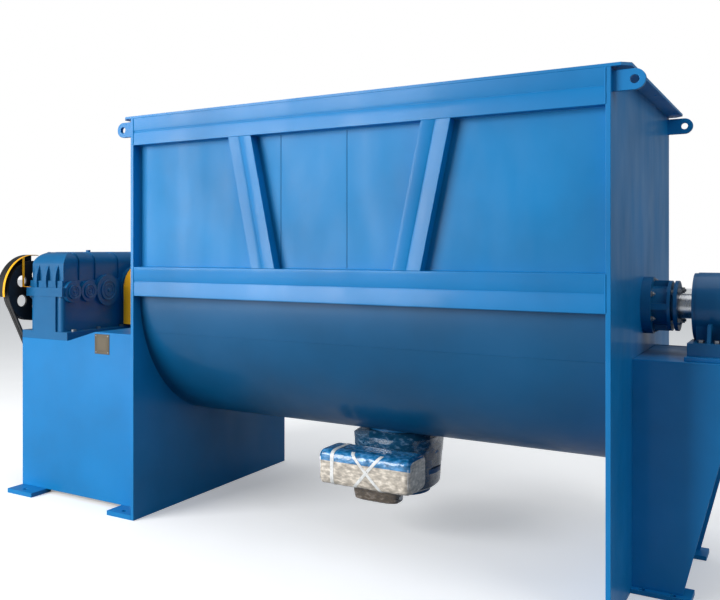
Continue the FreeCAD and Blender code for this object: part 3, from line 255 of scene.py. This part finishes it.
# %% Rubber and braid
def rubber(name):
    material, nodes, links = new_finish(name)
    shader = nodes["Principled BSDF"]
    grain = pattern(nodes, links, 150.0, 4.0)
    links.new(ramp(nodes, links, grain, [(0.3, grey(0.010)), (0.7, grey(0.024))]),
              shader.inputs["Base Color"])
    links.new(ramp(nodes, links, grain, [(0.3, grey(0.62)), (0.7, grey(0.80))]),
              shader.inputs["Roughness"])
    add_bump(nodes, links, shader, grain, 0.25, 0.0004)
    return material


def braid(name):
    material, nodes, links = new_finish(name)
    shader = nodes["Principled BSDF"]
    place = nodes.new("ShaderNodeTexCoord")
    weave = nodes.new("ShaderNodeTexWave")
    weave.inputs["Scale"].default_value = 90.0
    weave.inputs["Distortion"].default_value = 2.0
    links.new(place.outputs["Object"], weave.inputs["Vector"])
    links.new(ramp(nodes, links, weave.outputs["Fac"], [(0.2, (0.16, 0.13, 0.08)),
                                                        (0.8, (0.44, 0.38, 0.26))]),
              shader.inputs["Base Color"])
    shader.inputs["Roughness"].default_value = 0.8
    add_bump(nodes, links, shader, weave.outputs["Fac"], 0.6, 0.001)
    return material


belt_rubber = rubber("belt_rubber")
seat_rubber = rubber("seat_rubber")
packing_cord = braid("packing_cord")
print("soft finishes ready")

# %% [markdown]
# ## Give each construction piece its finish
# The construction pieces keep their shape. They only get a finish, and two modifiers that a
# paint shop would understand: edges that meet gently are shaded as one surface, and sharp
# sheet edges get a small round that catches the light.

# %% Shade gentle edges as one surface
def edge_shading_group():
    group = bpy.data.node_groups.new("gentle_edges", "GeometryNodeTree")
    group.interface.new_socket("Geometry", in_out="INPUT", socket_type="NodeSocketGeometry")
    group.interface.new_socket("Geometry", in_out="OUTPUT", socket_type="NodeSocketGeometry")
    nodes, links = group.nodes, group.links
    start, end = nodes.new("NodeGroupInput"), nodes.new("NodeGroupOutput")
    weld = nodes.new("GeometryNodeMergeByDistance")
    weld.inputs["Distance"].default_value = 0.00002
    faces = nodes.new("GeometryNodeSetShadeSmooth")
    faces.domain = "FACE"
    edges = nodes.new("GeometryNodeSetShadeSmooth")
    edges.domain = "EDGE"
    angle = nodes.new("GeometryNodeInputMeshEdgeAngle")
    gentle = nodes.new("FunctionNodeCompare")
    gentle.operation = "LESS_THAN"
    gentle.inputs["B"].default_value = math.radians(32.0)
    links.new(start.outputs[0], weld.inputs["Geometry"])
    links.new(weld.outputs["Geometry"], faces.inputs["Geometry"])
    links.new(faces.outputs["Geometry"], edges.inputs["Geometry"])
    links.new(angle.outputs["Unsigned Angle"], gentle.inputs["A"])
    links.new(gentle.outputs["Result"], edges.inputs["Shade Smooth"])
    links.new(edges.outputs["Geometry"], end.inputs[0])
    return group


GENTLE = edge_shading_group()


def soften(piece, width=0.0, segments=2):
    shade = piece.modifiers.new("gentle_edges", "NODES")
    shade.node_group = GENTLE
    if width > 0.0:
        round_over = piece.modifiers.new("edge_round", "BEVEL")
        round_over.width = width
        round_over.segments = segments
        round_over.limit_method = "ANGLE"
        round_over.angle_limit = math.radians(40.0)
        round_over.use_clamp_overlap = True
        round_over.harden_normals = True


print("edge shading ready")

# %% Finishes for the construction
FINISHES = [
    (plate_blue, 0.0022, "end_plate_left end_plate_right top_rails mid_rails struts top_flange"),
    (plate_blue, 0.0020, "drive_pedestal_panels drive_pedestal_deck drive_pedestal_feet"),
    (plate_blue, 0.0020, "outboard_pedestal outboard_pedestal_feet lifting_lugs"),
    # The trough shell takes the darkened blue, the painted shade of its underside.
    (shaded_trough_blue, 0.0, "trough_shell"),
    (wall_blue, 0.0, "trough_walls"),
    (cast_blue, 0.0030, "gearbox_lower_housing bearing_housing plummer_block"),
    (cast_blue, 0.0016, "gearbox_upper_housing gearbox_covers seal_housings glands"),
    (cast_blue, 0.0016, "bearing_housing_caps outlet_spools"),
    (motor_blue, 0.0016, "motor_body valve_body"),
    (guard_yellow, 0.0008, "coupling_guard"),
    (edged_guard, 0.0008, "belt_guard"),
    (black_iron, 0.0010, "driven_pulley motor_pulley coupling_halves motor_rails"),
    (turned_steel, 0.0010, "main_shaft output_shaft motor_shaft valve_stem coupling_pins"),
    (turned_steel, 0.0006, "input_pinion_shaft second_pinion_shaft third_pinion_shaft"),
    (rolled_steel, 0.0010, "ribbon_arms outer_ribbons inner_ribbons"),
    (gear_steel, 0.0006, "second_wheel third_wheel output_wheel actuator_pinion"),
    (ring_steel, 0.0008, "bearing_outer_rings bearing_inner_rings"),
    (bolt_steel, 0.0008, "seal_studs hex_bolts"),
    (belt_rubber, 0.0008, "v_belts"),
    (seat_rubber, 0.0, "valve_seat"),
    (packing_cord, 0.0008, "packing_rings"),
    (anodised, 0.0012, "actuator_body actuator_caps piston_left piston_right air_valve"),
    (disc_steel, 0.0008, "valve_disc"),
    (plate_bronze, 0.0006, "rating_plate"),
]
finished = set()
for finish, edge, names in FINISHES:
    for name in names.split():
        node = frame["nodes"][name]
        for held in node.material_slots:
            held.material = finish
        soften(node, edge)
        finished.add(name)
print("nodes finished", len(finished), "left", sorted(set(frame["nodes"]) - finished))

# %% [markdown]
# ## Adding pieces
# Each added piece is a mesh made in code, given a finish and the body it
# moves with. Most belong to the fixed machine.

# %% Make a piece and put it on its body
def add_piece(name, mesh, finish, body="machine", edge=0.0):
    piece = bpy.data.objects.new(name, mesh)
    bpy.context.scene.collection.objects.link(piece)
    mesh.materials.append(finish)
    soften(piece, edge)
    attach(piece, body)
    return piece


def to_mesh(shape, name):
    bmesh.ops.recalc_face_normals(shape, faces=shape.faces)
    mesh = bpy.data.meshes.new(name)
    shape.to_mesh(mesh)
    shape.free()
    return mesh


def loft(shape, rings, close_ends=True, closed_loop=False):
    """Skin a row of rings of points, each ring closed on itself."""
    made = [[shape.verts.new(point) for point in ring] for ring in rings]
    pairs = list(zip(made, made[1:]))
    if closed_loop:
        pairs.append((made[-1], made[0]))
    for here, there in pairs:
        for i in range(len(here)):
            j = (i + 1) % len(here)
            shape.faces.new((here[i], here[j], there[j], there[i]))
    if close_ends and not closed_loop:
        shape.faces.new(made[0])
        shape.faces.new(made[-1])


def frame_along(direction):
    """Two directions square to a line and to each other."""
    direction = Vector(direction).normalized()
    helper = Vector((0, 0, 1)) if abs(direction.z) < 0.9 else Vector((1, 0, 0))
    side = direction.cross(helper).normalized()
    return side, direction.cross(side).normalized()


print("piece helpers ready")

# %% [markdown]
# ## Weld beads
# The frame is plate and folded channel, welded along every joint. A bead is a low rounded
# ridge with a ripple where each drop of metal froze. It is made as a thin tube whose radius
# swells and shrinks along its length, half sunk in the corner it fills.

# %% A rippled bead between two points
BEAD_RADIUS = 0.0042
BEAD_RIPPLE = 0.011
BEAD_SIDES = 6


def bead(shape, start, end, radius=BEAD_RADIUS):
    start, end = Vector(start), Vector(end)
    length = (end - start).length
    count = max(4, int(length / BEAD_RIPPLE) * 2)
    side, up = frame_along(end - start)
    rings = []
    for i in range(count + 1):
        centre = start.lerp(end, i / count)
        swell = 1.0 + (0.12 if i % 2 else -0.12) + 0.10 * noise.noise(centre * 40.0)
        if i in (0, count):
            swell *= 0.4
        rings.append([centre + (side * math.cos(a) + up * math.sin(a)) * radius * swell
                      for a in (2 * math.pi * k / BEAD_SIDES for k in range(BEAD_SIDES))])
    loft(shape, rings)


# %% Beads on the trough and its frame
top_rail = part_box("top_rails")
mid_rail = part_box("mid_rails")
BACK = left_plate[1].y
WALL_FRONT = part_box("trough_walls")[0].y
WALL_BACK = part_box("trough_walls")[1].y
welds = bmesh.new()
for face, sign in ((FRONT, 1), (BACK, -1)):
    for x in (TROUGH_LEFT, TROUGH_RIGHT):
        for low, high in ((top_rail[0].z, top_rail[1].z), (mid_rail[0].z, mid_rail[1].z)):
            bead(welds, (x, face + 0.001 * sign, low), (x, face + 0.001 * sign, high))
for wall in (WALL_FRONT, WALL_BACK):
    for x in (TROUGH_LEFT, TROUGH_RIGHT):
        bead(welds, (x, wall, mid_rail[1].z), (x, wall, top_rail[0].z))
    for z in (mid_rail[1].z, top_rail[0].z):
        bead(welds, (TROUGH_LEFT, wall, z), (TROUGH_RIGHT, wall, z))
add_piece("frame_welds", to_mesh(welds, "frame_welds"), plate_blue)
print("frame welds made")

# %% [markdown]
# The trough's side wall is made of three sheets, so two butt seams run down it. They were
# ground nearly flat and show only as a thin line.

# %% Butt seams in the side walls and the shell
SEAM_RADIUS = 0.0016
SEAM_PLACES = (LEFT + 0.915, LEFT + 1.273)
seams = bmesh.new()
for x in SEAM_PLACES:
    for wall in (WALL_FRONT, WALL_BACK):
        bead(seams, (x, wall, mid_rail[1].z), (x, wall, top_rail[0].z), SEAM_RADIUS)
shell_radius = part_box("trough_shell")[1].y - SHAFT.y
seam_angle = math.radians(196.0)
for side in (-1, 1):
    y = SHAFT.y + side * abs(math.cos(seam_angle)) * shell_radius
    z = SHAFT.z + math.sin(seam_angle) * shell_radius
    bead(seams, (TROUGH_LEFT, y, z), (TROUGH_RIGHT, y, z), SEAM_RADIUS)
# The seams take the trough shell's darkened blue, the painted shade of its underside.
add_piece("sheet_seams", to_mesh(seams, "sheet_seams"), shaded_trough_blue)
print("sheet seams made")

# %% [markdown]
# ## Bolts
# A bolt here is a hexagon with its corners turned off, standing on a round washer, with the
# end of its thread showing. The corners are turned off by starting the hexagon a little
# smaller at its top.

# %% One bolt, standing on a face
def bolt(shape, at, direction, across):
    at, direction = Vector(at), Vector(direction).normalized()
    side, up = frame_along(direction)
    corner = across / math.sqrt(3)
    height = across * 0.62

    def ring(count, radius, lift, turn=0.0):
        return [at + direction * lift + (side * math.cos(a) + up * math.sin(a)) * radius
                for a in (turn + 2 * math.pi * k / count for k in range(count))]

    washer = across * 0.12
    loft(shape, [ring(20, corner * 1.22, -0.0005), ring(20, corner * 1.22, washer)])
    loft(shape, [ring(6, corner, washer), ring(6, corner, height * 0.86),
                 ring(6, corner * 0.86, height)])
    loft(shape, [ring(12, corner * 0.50, height), ring(12, corner * 0.50, height * 1.35),
                 ring(12, corner * 0.42, height * 1.45)])


# %% Bolts on the seals and the gearbox's split line
plate_bolts = bmesh.new()
SEAL_BOLTS = 6
SEAL_BOLT_CIRCLE = 0.110
SEAL_FLANGE = 0.041
for face, out in ((RIGHT + SEAL_FLANGE, 1), (LEFT - SEAL_FLANGE, -1)):
    for i in range(SEAL_BOLTS):
        a = 2 * math.pi * (i + 0.5) / SEAL_BOLTS
        bolt(plate_bolts, (face, SHAFT.y + SEAL_BOLT_CIRCLE * math.cos(a),
                           SHAFT.z + SEAL_BOLT_CIRCLE * math.sin(a)), (out, 0, 0), 0.019)
add_piece("seal_flange_bolts", to_mesh(plate_bolts, "seal_flange_bolts"), bolt_steel)

split = bmesh.new()
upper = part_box("gearbox_upper_housing")
SPLIT_TOP = SHAFT.z + 0.026
SPLIT_BOLT_IN = 0.017
for x in (upper[0].x + SPLIT_BOLT_IN, upper[1].x - SPLIT_BOLT_IN):
    bolt(split, (x, upper[1].y - SPLIT_BOLT_IN, SPLIT_TOP), (0, 0, 1), 0.018)
    bolt(split, (x, upper[0].y + SPLIT_BOLT_IN * 2.2, SPLIT_TOP), (0, 0, 1), 0.018)
add_piece("split_line_bolts", to_mesh(split, "split_line_bolts"), cast_blue)
print("bolts made")

# %% [markdown]
# ## Bearing covers
# Each shaft of the gearbox ends under a round cover turned in steps, with a plug in its
# middle. The construction has the cover and its raised middle, so the two fine lips and the
# plug are turned here from one profile and set on every cover.

# %% Lips and plug on the round covers
def turned_ring(shape, centre, out, profile, count=48):
    """Turn a closed profile of (radius, lift) about a line along x."""
    rings = []
    for k in range(count):
        a = 2 * math.pi * k / count
        rings.append([Vector(centre) + Vector((out * lift, radius * math.cos(a), radius * math.sin(a)))
                      for radius, lift in profile])
    loft(shape, rings, close_ends=False, closed_loop=True)


covers_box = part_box("gearbox_covers")
COVER_RADII = {"input_shaft_spin": 0.063, "second_shaft_spin": 0.063,
               "third_shaft_spin": 0.095, "rotor_spin": 0.148}
cover_lips = bmesh.new()
for name, radius in COVER_RADII.items():
    for face, out in ((covers_box[1].x, 1), (covers_box[0].x, -1)):
        centre = (face, axis_at[name].y, axis_at[name].z)
        open_cover = (name, out) in (("input_shaft_spin", -1), ("rotor_spin", 1))
        for inner, outer in ((0.56, 0.66), (0.34, 0.42)):
            if open_cover and inner * radius < 0.058 * (name == "rotor_spin"):
                continue
            low, high, soft = inner * radius, outer * radius, 0.0012
            turned_ring(cover_lips, centre, out, [(low, -0.001), (low, 0.0022), (low + soft, 0.0035),
                                                  (high - soft, 0.0035), (high, 0.0022), (high, -0.001)])
        if not open_cover:
            plug = 0.12 * radius
            turned_ring(cover_lips, centre, out, [(0.0004, -0.001), (plug, -0.001), (plug, 0.003),
                                                  (plug * 0.7, 0.006), (0.0004, 0.0065)], 20)
add_piece("cover_lips", to_mesh(cover_lips, "cover_lips"), cast_blue)
print("cover lips made")

# %% [markdown]
# ## The rotor's ribbons
# The construction winds its ribbons in short flats, which is enough for the motion. Seen
# from above a real ribbon is a smooth helix rolled from strip, so the two CAD nodes are
# replaced by strips with many more steps to the turn, on the same line.

# %% Roll the smooth ribbons
RIBBON_PITCH = 1.120
RIBBON_THICK = 0.012
RIBBON_STEPS = 96
RIBBON_LENGTH = 1.120
RIBBON_START = 0.0003


def ribbon_strip(shape, radius, width, hand, start_angle, mirror):
    rings = []
    for i in range(RIBBON_STEPS + 1):
        share = i / RIBBON_STEPS
        a = start_angle + hand * 2 * math.pi * share * RIBBON_LENGTH / RIBBON_PITCH
        x = RIBBON_START + RIBBON_THICK / 2 + RIBBON_LENGTH * share
        ring = []
        for r, side in ((radius, -1), (radius, 1), (radius - width, 1), (radius - width, -1)):
            ring.append((MIDDLE_X + mirror * (x + side * RIBBON_THICK / 2),
                         SHAFT.y - r * math.sin(a), SHAFT.z + r * math.cos(a)))
        rings.append(ring)
    loft(shape, rings)


# name, outer radius, strip width, and which way it winds
RIBBONS = [("outer_ribbons", 0.664, 0.096, 1), ("inner_ribbons", 0.390, 0.084, -1)]
for name, radius, width, hand in RIBBONS:
    ribbons = bmesh.new()
    for start_angle in (0.0, math.pi):
        for mirror in (1, -1):
            ribbon_strip(ribbons, radius, width, hand, start_angle, mirror)
    rolled = add_piece("rolled_" + name, to_mesh(ribbons, "rolled_" + name), rolled_steel,
                       "rotor", 0.0015)
    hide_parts(name)
print("ribbons rolled")

# %% [markdown]
# ## The wrapped discharge valve
# The valve and its actuator were wrapped for transport. Pulled film is not a smooth skin: it
# runs in tight straight folds from corner to corner and puckers where it turns. The skin is
# lofted round the actuator's own box as a rounded section, and then pushed in and out by a
# ridged noise, which gives creases with sharp crests.

# %% A ridged crease pattern
def crease(point, scale, depth):
    """How far a point of film stands in or out: sharp crests, soft valleys."""
    total, size, weight = 0.0, scale, 1.0
    for _ in range(3):
        ridge = 1.0 - abs(noise.noise(Vector(point) * size)) * 2.0
        total += ridge * weight
        size *= 2.1
        weight *= 0.5
    return depth * (total / 1.75 - 0.5)


def section_point(t, half_y, half_z, power):
    """A point of a rounded-box section, t from 0 to 1."""
    a = 2 * math.pi * t
    c, s = math.cos(a), math.sin(a)
    return (math.copysign(abs(c) ** (2 / power), c) * half_y,
            math.copysign(abs(s) ** (2 / power), s) * half_z)


print("crease pattern ready")

# %% Film finish: clear plastic over whatever is behind it
def film(name, tint, shine, clear):
    material, nodes, links = new_finish(name)
    shader = nodes["Principled BSDF"]
    folds = pattern(nodes, links, 34.0, 6.0, (1.0, 1.0, 2.2))
    # The fold pattern also sets the colour: the pale tone on the crests is painted highlight, and the
    # dark tone in the hollows is painted shade.
    painted_fold_highlight = tuple(min(1.0, c * 1.5 + 0.12) for c in tint)
    dark = tuple(c * 0.55 for c in tint)
    links.new(ramp(nodes, links, folds, [(0.32, dark), (0.52, tint), (0.72, painted_fold_highlight)]),
              shader.inputs["Base Color"])
    shader.inputs["Roughness"].default_value = shine
    shader.inputs["Alpha"].default_value = clear
    shader.inputs["Coat Weight"].default_value = 0.55
    shader.inputs["Coat Roughness"].default_value = 0.08
    add_bump(nodes, links, shader, folds, 0.60, 0.004)
    return material


silver_film = film("silver_film", (0.56, 0.50, 0.42), 0.30, 1.0)
blue_film = film("blue_film", (0.010, 0.190, 0.440), 0.24, 1.0)
smoky_film = film("smoky_film", (0.085, 0.062, 0.042), 0.26, 0.96)
clear_film = film("clear_film", (0.008, 0.075, 0.160), 0.20, 0.80)
print("films ready")

# %% Wrap the actuator
act = (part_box("actuator_caps")[0].copy(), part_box("actuator_caps")[1].copy())
FILM_GAP = 0.007
ACT_CENTRE = (act[0] + act[1]) / 2
ACT_HALF = (act[1] - act[0]) / 2 + Vector((FILM_GAP, FILM_GAP, FILM_GAP))
AROUND = 96
ALONG = 110


def wrap_point(x_share, t, lift=0.0):
    """A point of the actuator's skin: x_share from -1 to 1 along it, t round it."""
    end = max(0.0, abs(x_share) - 0.90) / 0.10
    draw_in = math.sqrt(max(0.0, 1.0 - 0.30 * end ** 2))
    y, z = section_point(t, ACT_HALF.y * draw_in, ACT_HALF.z * draw_in, 6.0)
    base = ACT_CENTRE + Vector((x_share * ACT_HALF.x, y, z))
    outward = Vector((0.0, y, z)).normalized()
    return base + outward * (crease(base, 9.0, 0.0045) + lift)


skin = bmesh.new()
rings = [[wrap_point(-1 + 2 * i / ALONG, k / AROUND) for k in range(AROUND)]
         for i in range(ALONG + 1)]
loft(skin, rings)
skin_mesh = to_mesh(skin, "actuator_film")
BLUE_FROM = ACT_CENTRE.z + ACT_HALF.z * 0.30
add_piece("actuator_film", skin_mesh, silver_film)
skin_mesh.materials.append(blue_film)
for face in skin_mesh.polygons:
    sag = 0.004 * noise.noise(face.center * 9.0) - 0.030 * (face.center.x - ACT_CENTRE.x)
    face.material_index = 1 if face.center.z > BLUE_FROM + sag else 0
print("actuator wrapped, faces", len(skin_mesh.polygons))

# %% [markdown]
# The box under the actuator and the neck above it are wrapped by the same sheet. Here the
# film hangs looser, so its folds are deeper, and more of what is behind shows through.

# %% Wrap the box below and the neck behind
def wrapped_column(name, centre, half_x, half_y, low, high, power, depth, finish, taper=0.0):
    shape = bmesh.new()
    rows = 46
    column = []
    for i in range(rows + 1):
        share = i / rows
        z = low + (high - low) * share
        edge = min(share, 1 - share) / 0.08
        pull = min(1.0, 0.82 + 0.18 * min(1.0, edge)) * (1.0 - taper * (1 - share))
        ring = []
        for k in range(AROUND):
            x, y = section_point(k / AROUND, half_x * pull, half_y * pull, power)
            base = Vector((centre[0] + x, centre[1] + y, z))
            outward = Vector((x, y, 0.0)).normalized()
            ring.append(base + outward * crease(base, 9.0, depth))
        column.append(ring)
    loft(shape, column)
    return add_piece(name, to_mesh(shape, name), finish)


block_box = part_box("air_valve")
block_centre = (block_box[0] + block_box[1]) / 2
block_half = (block_box[1] - block_box[0]) / 2
wrapped_column("air_valve_film", block_centre, block_half.x + 0.006, block_half.y + 0.012,
               block_box[0].z - 0.004, block_box[1].z + 0.004, 5.0, 0.006, smoky_film, 0.10)
spool_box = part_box("outlet_spools")
neck_centre = (spool_box[0] + spool_box[1]) / 2
NECK_HALF = (spool_box[1].x - spool_box[0].x) / 2
wrapped_column("neck_film", neck_centre, NECK_HALF + 0.008, NECK_HALF + 0.008,
               spool_box[0].z + 0.012, spool_box[1].z - 0.010, 2.8, 0.007, clear_film, 0.12)
print("box and neck wrapped")

# %% [markdown]
# White tape holds the film: one band straight round the actuator, and two that cross. A band
# follows the skin, so it is drawn with the same function, lifted by a hair, while its place
# along the actuator slides as it goes round.

# %% Lay the tape
def tape_finish(name):
    material, nodes, links = new_finish(name)
    shader = nodes["Principled BSDF"]
    wear = pattern(nodes, links, 60.0, 5.0)
    links.new(ramp(nodes, links, wear, [(0.3, (0.62, 0.63, 0.62)), (0.6, (0.84, 0.85, 0.84))]),
              shader.inputs["Base Color"])
    links.new(ramp(nodes, links, wear, [(0.3, grey(0.30)), (0.7, grey(0.48))]),
              shader.inputs["Roughness"])
    add_bump(nodes, links, shader, wear, 0.30, 0.001)
    return material


white_tape = tape_finish("white_tape")
TAPE_HALF = 0.0095
TAPE_LIFT = 0.0016


def tape_band(shape, x_at, t_from, t_to, steps=90):
    """A band of tape; x_at gives its place along the actuator for a height from -1 to 1."""
    rings = []
    for i in range(steps + 1):
        t = t_from + (t_to - t_from) * i / steps
        middle = x_at(section_point(t, 1.0, 1.0, 6.0)[1])
        half = TAPE_HALF / ACT_HALF.x
        rings.append([wrap_point(middle - half, t, 0.0), wrap_point(middle + half, t, 0.0),
                      wrap_point(middle + half, t, TAPE_LIFT), wrap_point(middle - half, t, TAPE_LIFT)])
    loft(shape, rings)


bands = bmesh.new()
tape_band(bands, lambda height: -0.68, 0.0, 1.0)
tape_band(bands, lambda height: 0.08 - 0.34 * height, 0.30, 0.72)
tape_band(bands, lambda height: 0.08 + 0.30 * height, 0.30, 0.72)
add_piece("film_tape", to_mesh(bands, "film_tape"), white_tape)
print("tape laid")

# %% [markdown]
# ## Rating plate
# The plate is left bare. It keeps its raised border and the four rivets that hold it.

# %% Border and rivets of the bare plate
plate_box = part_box("rating_plate")
PLATE_FACE = plate_box[0].y
trim = bmesh.new()
low, high = plate_box[0], plate_box[1]
for inset in (0.004, 0.016):
    corners = [(low.x + inset, low.z + inset), (high.x - inset, low.z + inset),
               (high.x - inset, high.z - inset), (low.x + inset, high.z - inset)]
    for (x0, z0), (x1, z1) in zip(corners, corners[1:] + corners[:1]):
        bead(trim, (x0, PLATE_FACE, z0), (x1, PLATE_FACE, z1), 0.0011)
add_piece("plate_border", to_mesh(trim, "plate_border"), plate_bronze)
rivets = bmesh.new()
for x in (low.x + 0.010, high.x - 0.010):
    for z in (low.z + 0.010, high.z - 0.010):
        made = bmesh.ops.create_uvsphere(rivets, u_segments=16, v_segments=8, radius=0.0036)
        bmesh.ops.scale(rivets, vec=(1.0, 0.5, 1.0), verts=made["verts"])
        bmesh.ops.translate(rivets, vec=(x, PLATE_FACE, z), verts=made["verts"])
add_piece("plate_rivets", to_mesh(rivets, "plate_rivets"), bolt_steel)
print("plate trimmed")

# %% [markdown]
# ## Floor, light and camera
# A plain studio: a pale floor that takes the machine's shadow, one large soft lamp from the
# front left, a weaker one from the right, and a pale sky. The floor looks pale to the
# camera and in reflections but sends less light up, as a dark workshop floor does. A faint
# glow that only the camera sees makes it paler still.

# %% Floor
FLOOR_GLOW = 0.28


def floor_finish():
    material, nodes, links = new_finish("pale_floor")
    shader = nodes["Principled BSDF"]
    grain = pattern(nodes, links, 3.0, 5.0)
    seen = ramp(nodes, links, grain, [(0.3, grey(0.93)), (0.7, grey(0.96))])
    lit = ramp(nodes, links, grain, [(0.3, grey(0.10)), (0.7, grey(0.12))])
    path = nodes.new("ShaderNodeLightPath")
    either = nodes.new("ShaderNodeMath")
    either.operation = "MAXIMUM"
    links.new(path.outputs["Is Camera Ray"], either.inputs[0])
    links.new(path.outputs["Is Glossy Ray"], either.inputs[1])
    links.new(mixed(nodes, links, either.outputs[0], lit, seen), shader.inputs["Base Color"])
    shader.inputs["Roughness"].default_value = 0.85
    shader.inputs["Emission Color"].default_value = (1.0, 1.0, 1.0, 1.0)
    glow = nodes.new("ShaderNodeMath")
    glow.operation = "MULTIPLY"
    glow.inputs[1].default_value = FLOOR_GLOW
    links.new(path.outputs["Is Camera Ray"], glow.inputs[0])
    links.new(glow.outputs[0], shader.inputs["Emission Strength"])
    return material


bpy.ops.mesh.primitive_plane_add(size=60.0, location=(0, 0, 0))
floor = bpy.context.object
floor.name = "floor"
floor.data.materials.append(floor_finish())
print("floor laid")

# %% Sky and lamps
world = bpy.data.worlds.new("studio")
bpy.context.scene.world = world
world.use_nodes = True
sky = world.node_tree.nodes
sky_links = world.node_tree.links
soft = sky["Background"]
soft.inputs["Color"].default_value = (0.80, 0.86, 0.92, 1.0)
soft.inputs["Strength"].default_value = 0.34
backdrop = sky.new("ShaderNodeBackground")
backdrop.inputs["Color"].default_value = (1.0, 1.0, 1.0, 1.0)
backdrop.inputs["Strength"].default_value = 1.0
rays = sky.new("ShaderNodeLightPath")
choose = sky.new("ShaderNodeMixShader")
shown = sky.new("ShaderNodeMath")
shown.operation = "MAXIMUM"
sky_links.new(rays.outputs["Is Camera Ray"], shown.inputs[0])
sky_links.new(rays.outputs["Is Transmission Ray"], shown.inputs[1])
sky_links.new(shown.outputs[0], choose.inputs["Fac"])
sky_links.new(soft.outputs["Background"], choose.inputs[1])
sky_links.new(backdrop.outputs["Background"], choose.inputs[2])
sky_links.new(choose.outputs["Shader"], sky["World Output"].inputs["Surface"])


def lamp(name, place, target, size, watts, colour=(1.0, 1.0, 1.0)):
    light = bpy.data.lights.new(name, "AREA")
    light.size = size
    light.energy = watts
    light.color = colour
    holder = bpy.data.objects.new(name, light)
    holder.location = place
    holder.rotation_euler = (Vector(target) - Vector(place)).to_track_quat("-Z", "Y").to_euler()
    bpy.context.scene.collection.objects.link(holder)


aim = Vector((0.0, 0.0, 1.2))
lamp("front_softbox", (-4.5, -7.5, 3.2), aim, 5.0, 900.0)
lamp("right_softbox", (6.5, -2.5, 4.4), aim, 3.5, 95.0)
lamp("top_softbox", (0.5, 0.5, 6.5), aim, 5.0, 170.0)
print("lamps set")

# %% [markdown]
# The camera stands at the right end of the front, at about eye height, and looks along the
# machine towards the drive. It is level, and its lens is shifted so that upright plates stay
# upright.

# %% Camera
CAMERA_FROM_LEFT_PLATE = 3.08632
CAMERA_FROM_FRONT = 3.33774
CAMERA_HEIGHT = 1.43992
CAMERA_TURN = 31.91
camera_data = bpy.data.cameras.new("camera")
camera = bpy.data.objects.new("camera", camera_data)
bpy.context.scene.collection.objects.link(camera)
camera.location = (LEFT + CAMERA_FROM_LEFT_PLATE, FRONT - CAMERA_FROM_FRONT, CAMERA_HEIGHT)
camera.rotation_euler = (math.radians(90.0), 0.0, math.radians(CAMERA_TURN))
camera_data.sensor_width = 36.0
camera_data.lens = 41.998
camera_data.shift_x = 0.0952
camera_data.shift_y = -0.0701
camera_data.clip_end = 100.0
bpy.context.scene.camera = camera
bpy.context.scene.view_settings.view_transform = "Standard"
print("camera at", [round(v, 3) for v in camera.location])
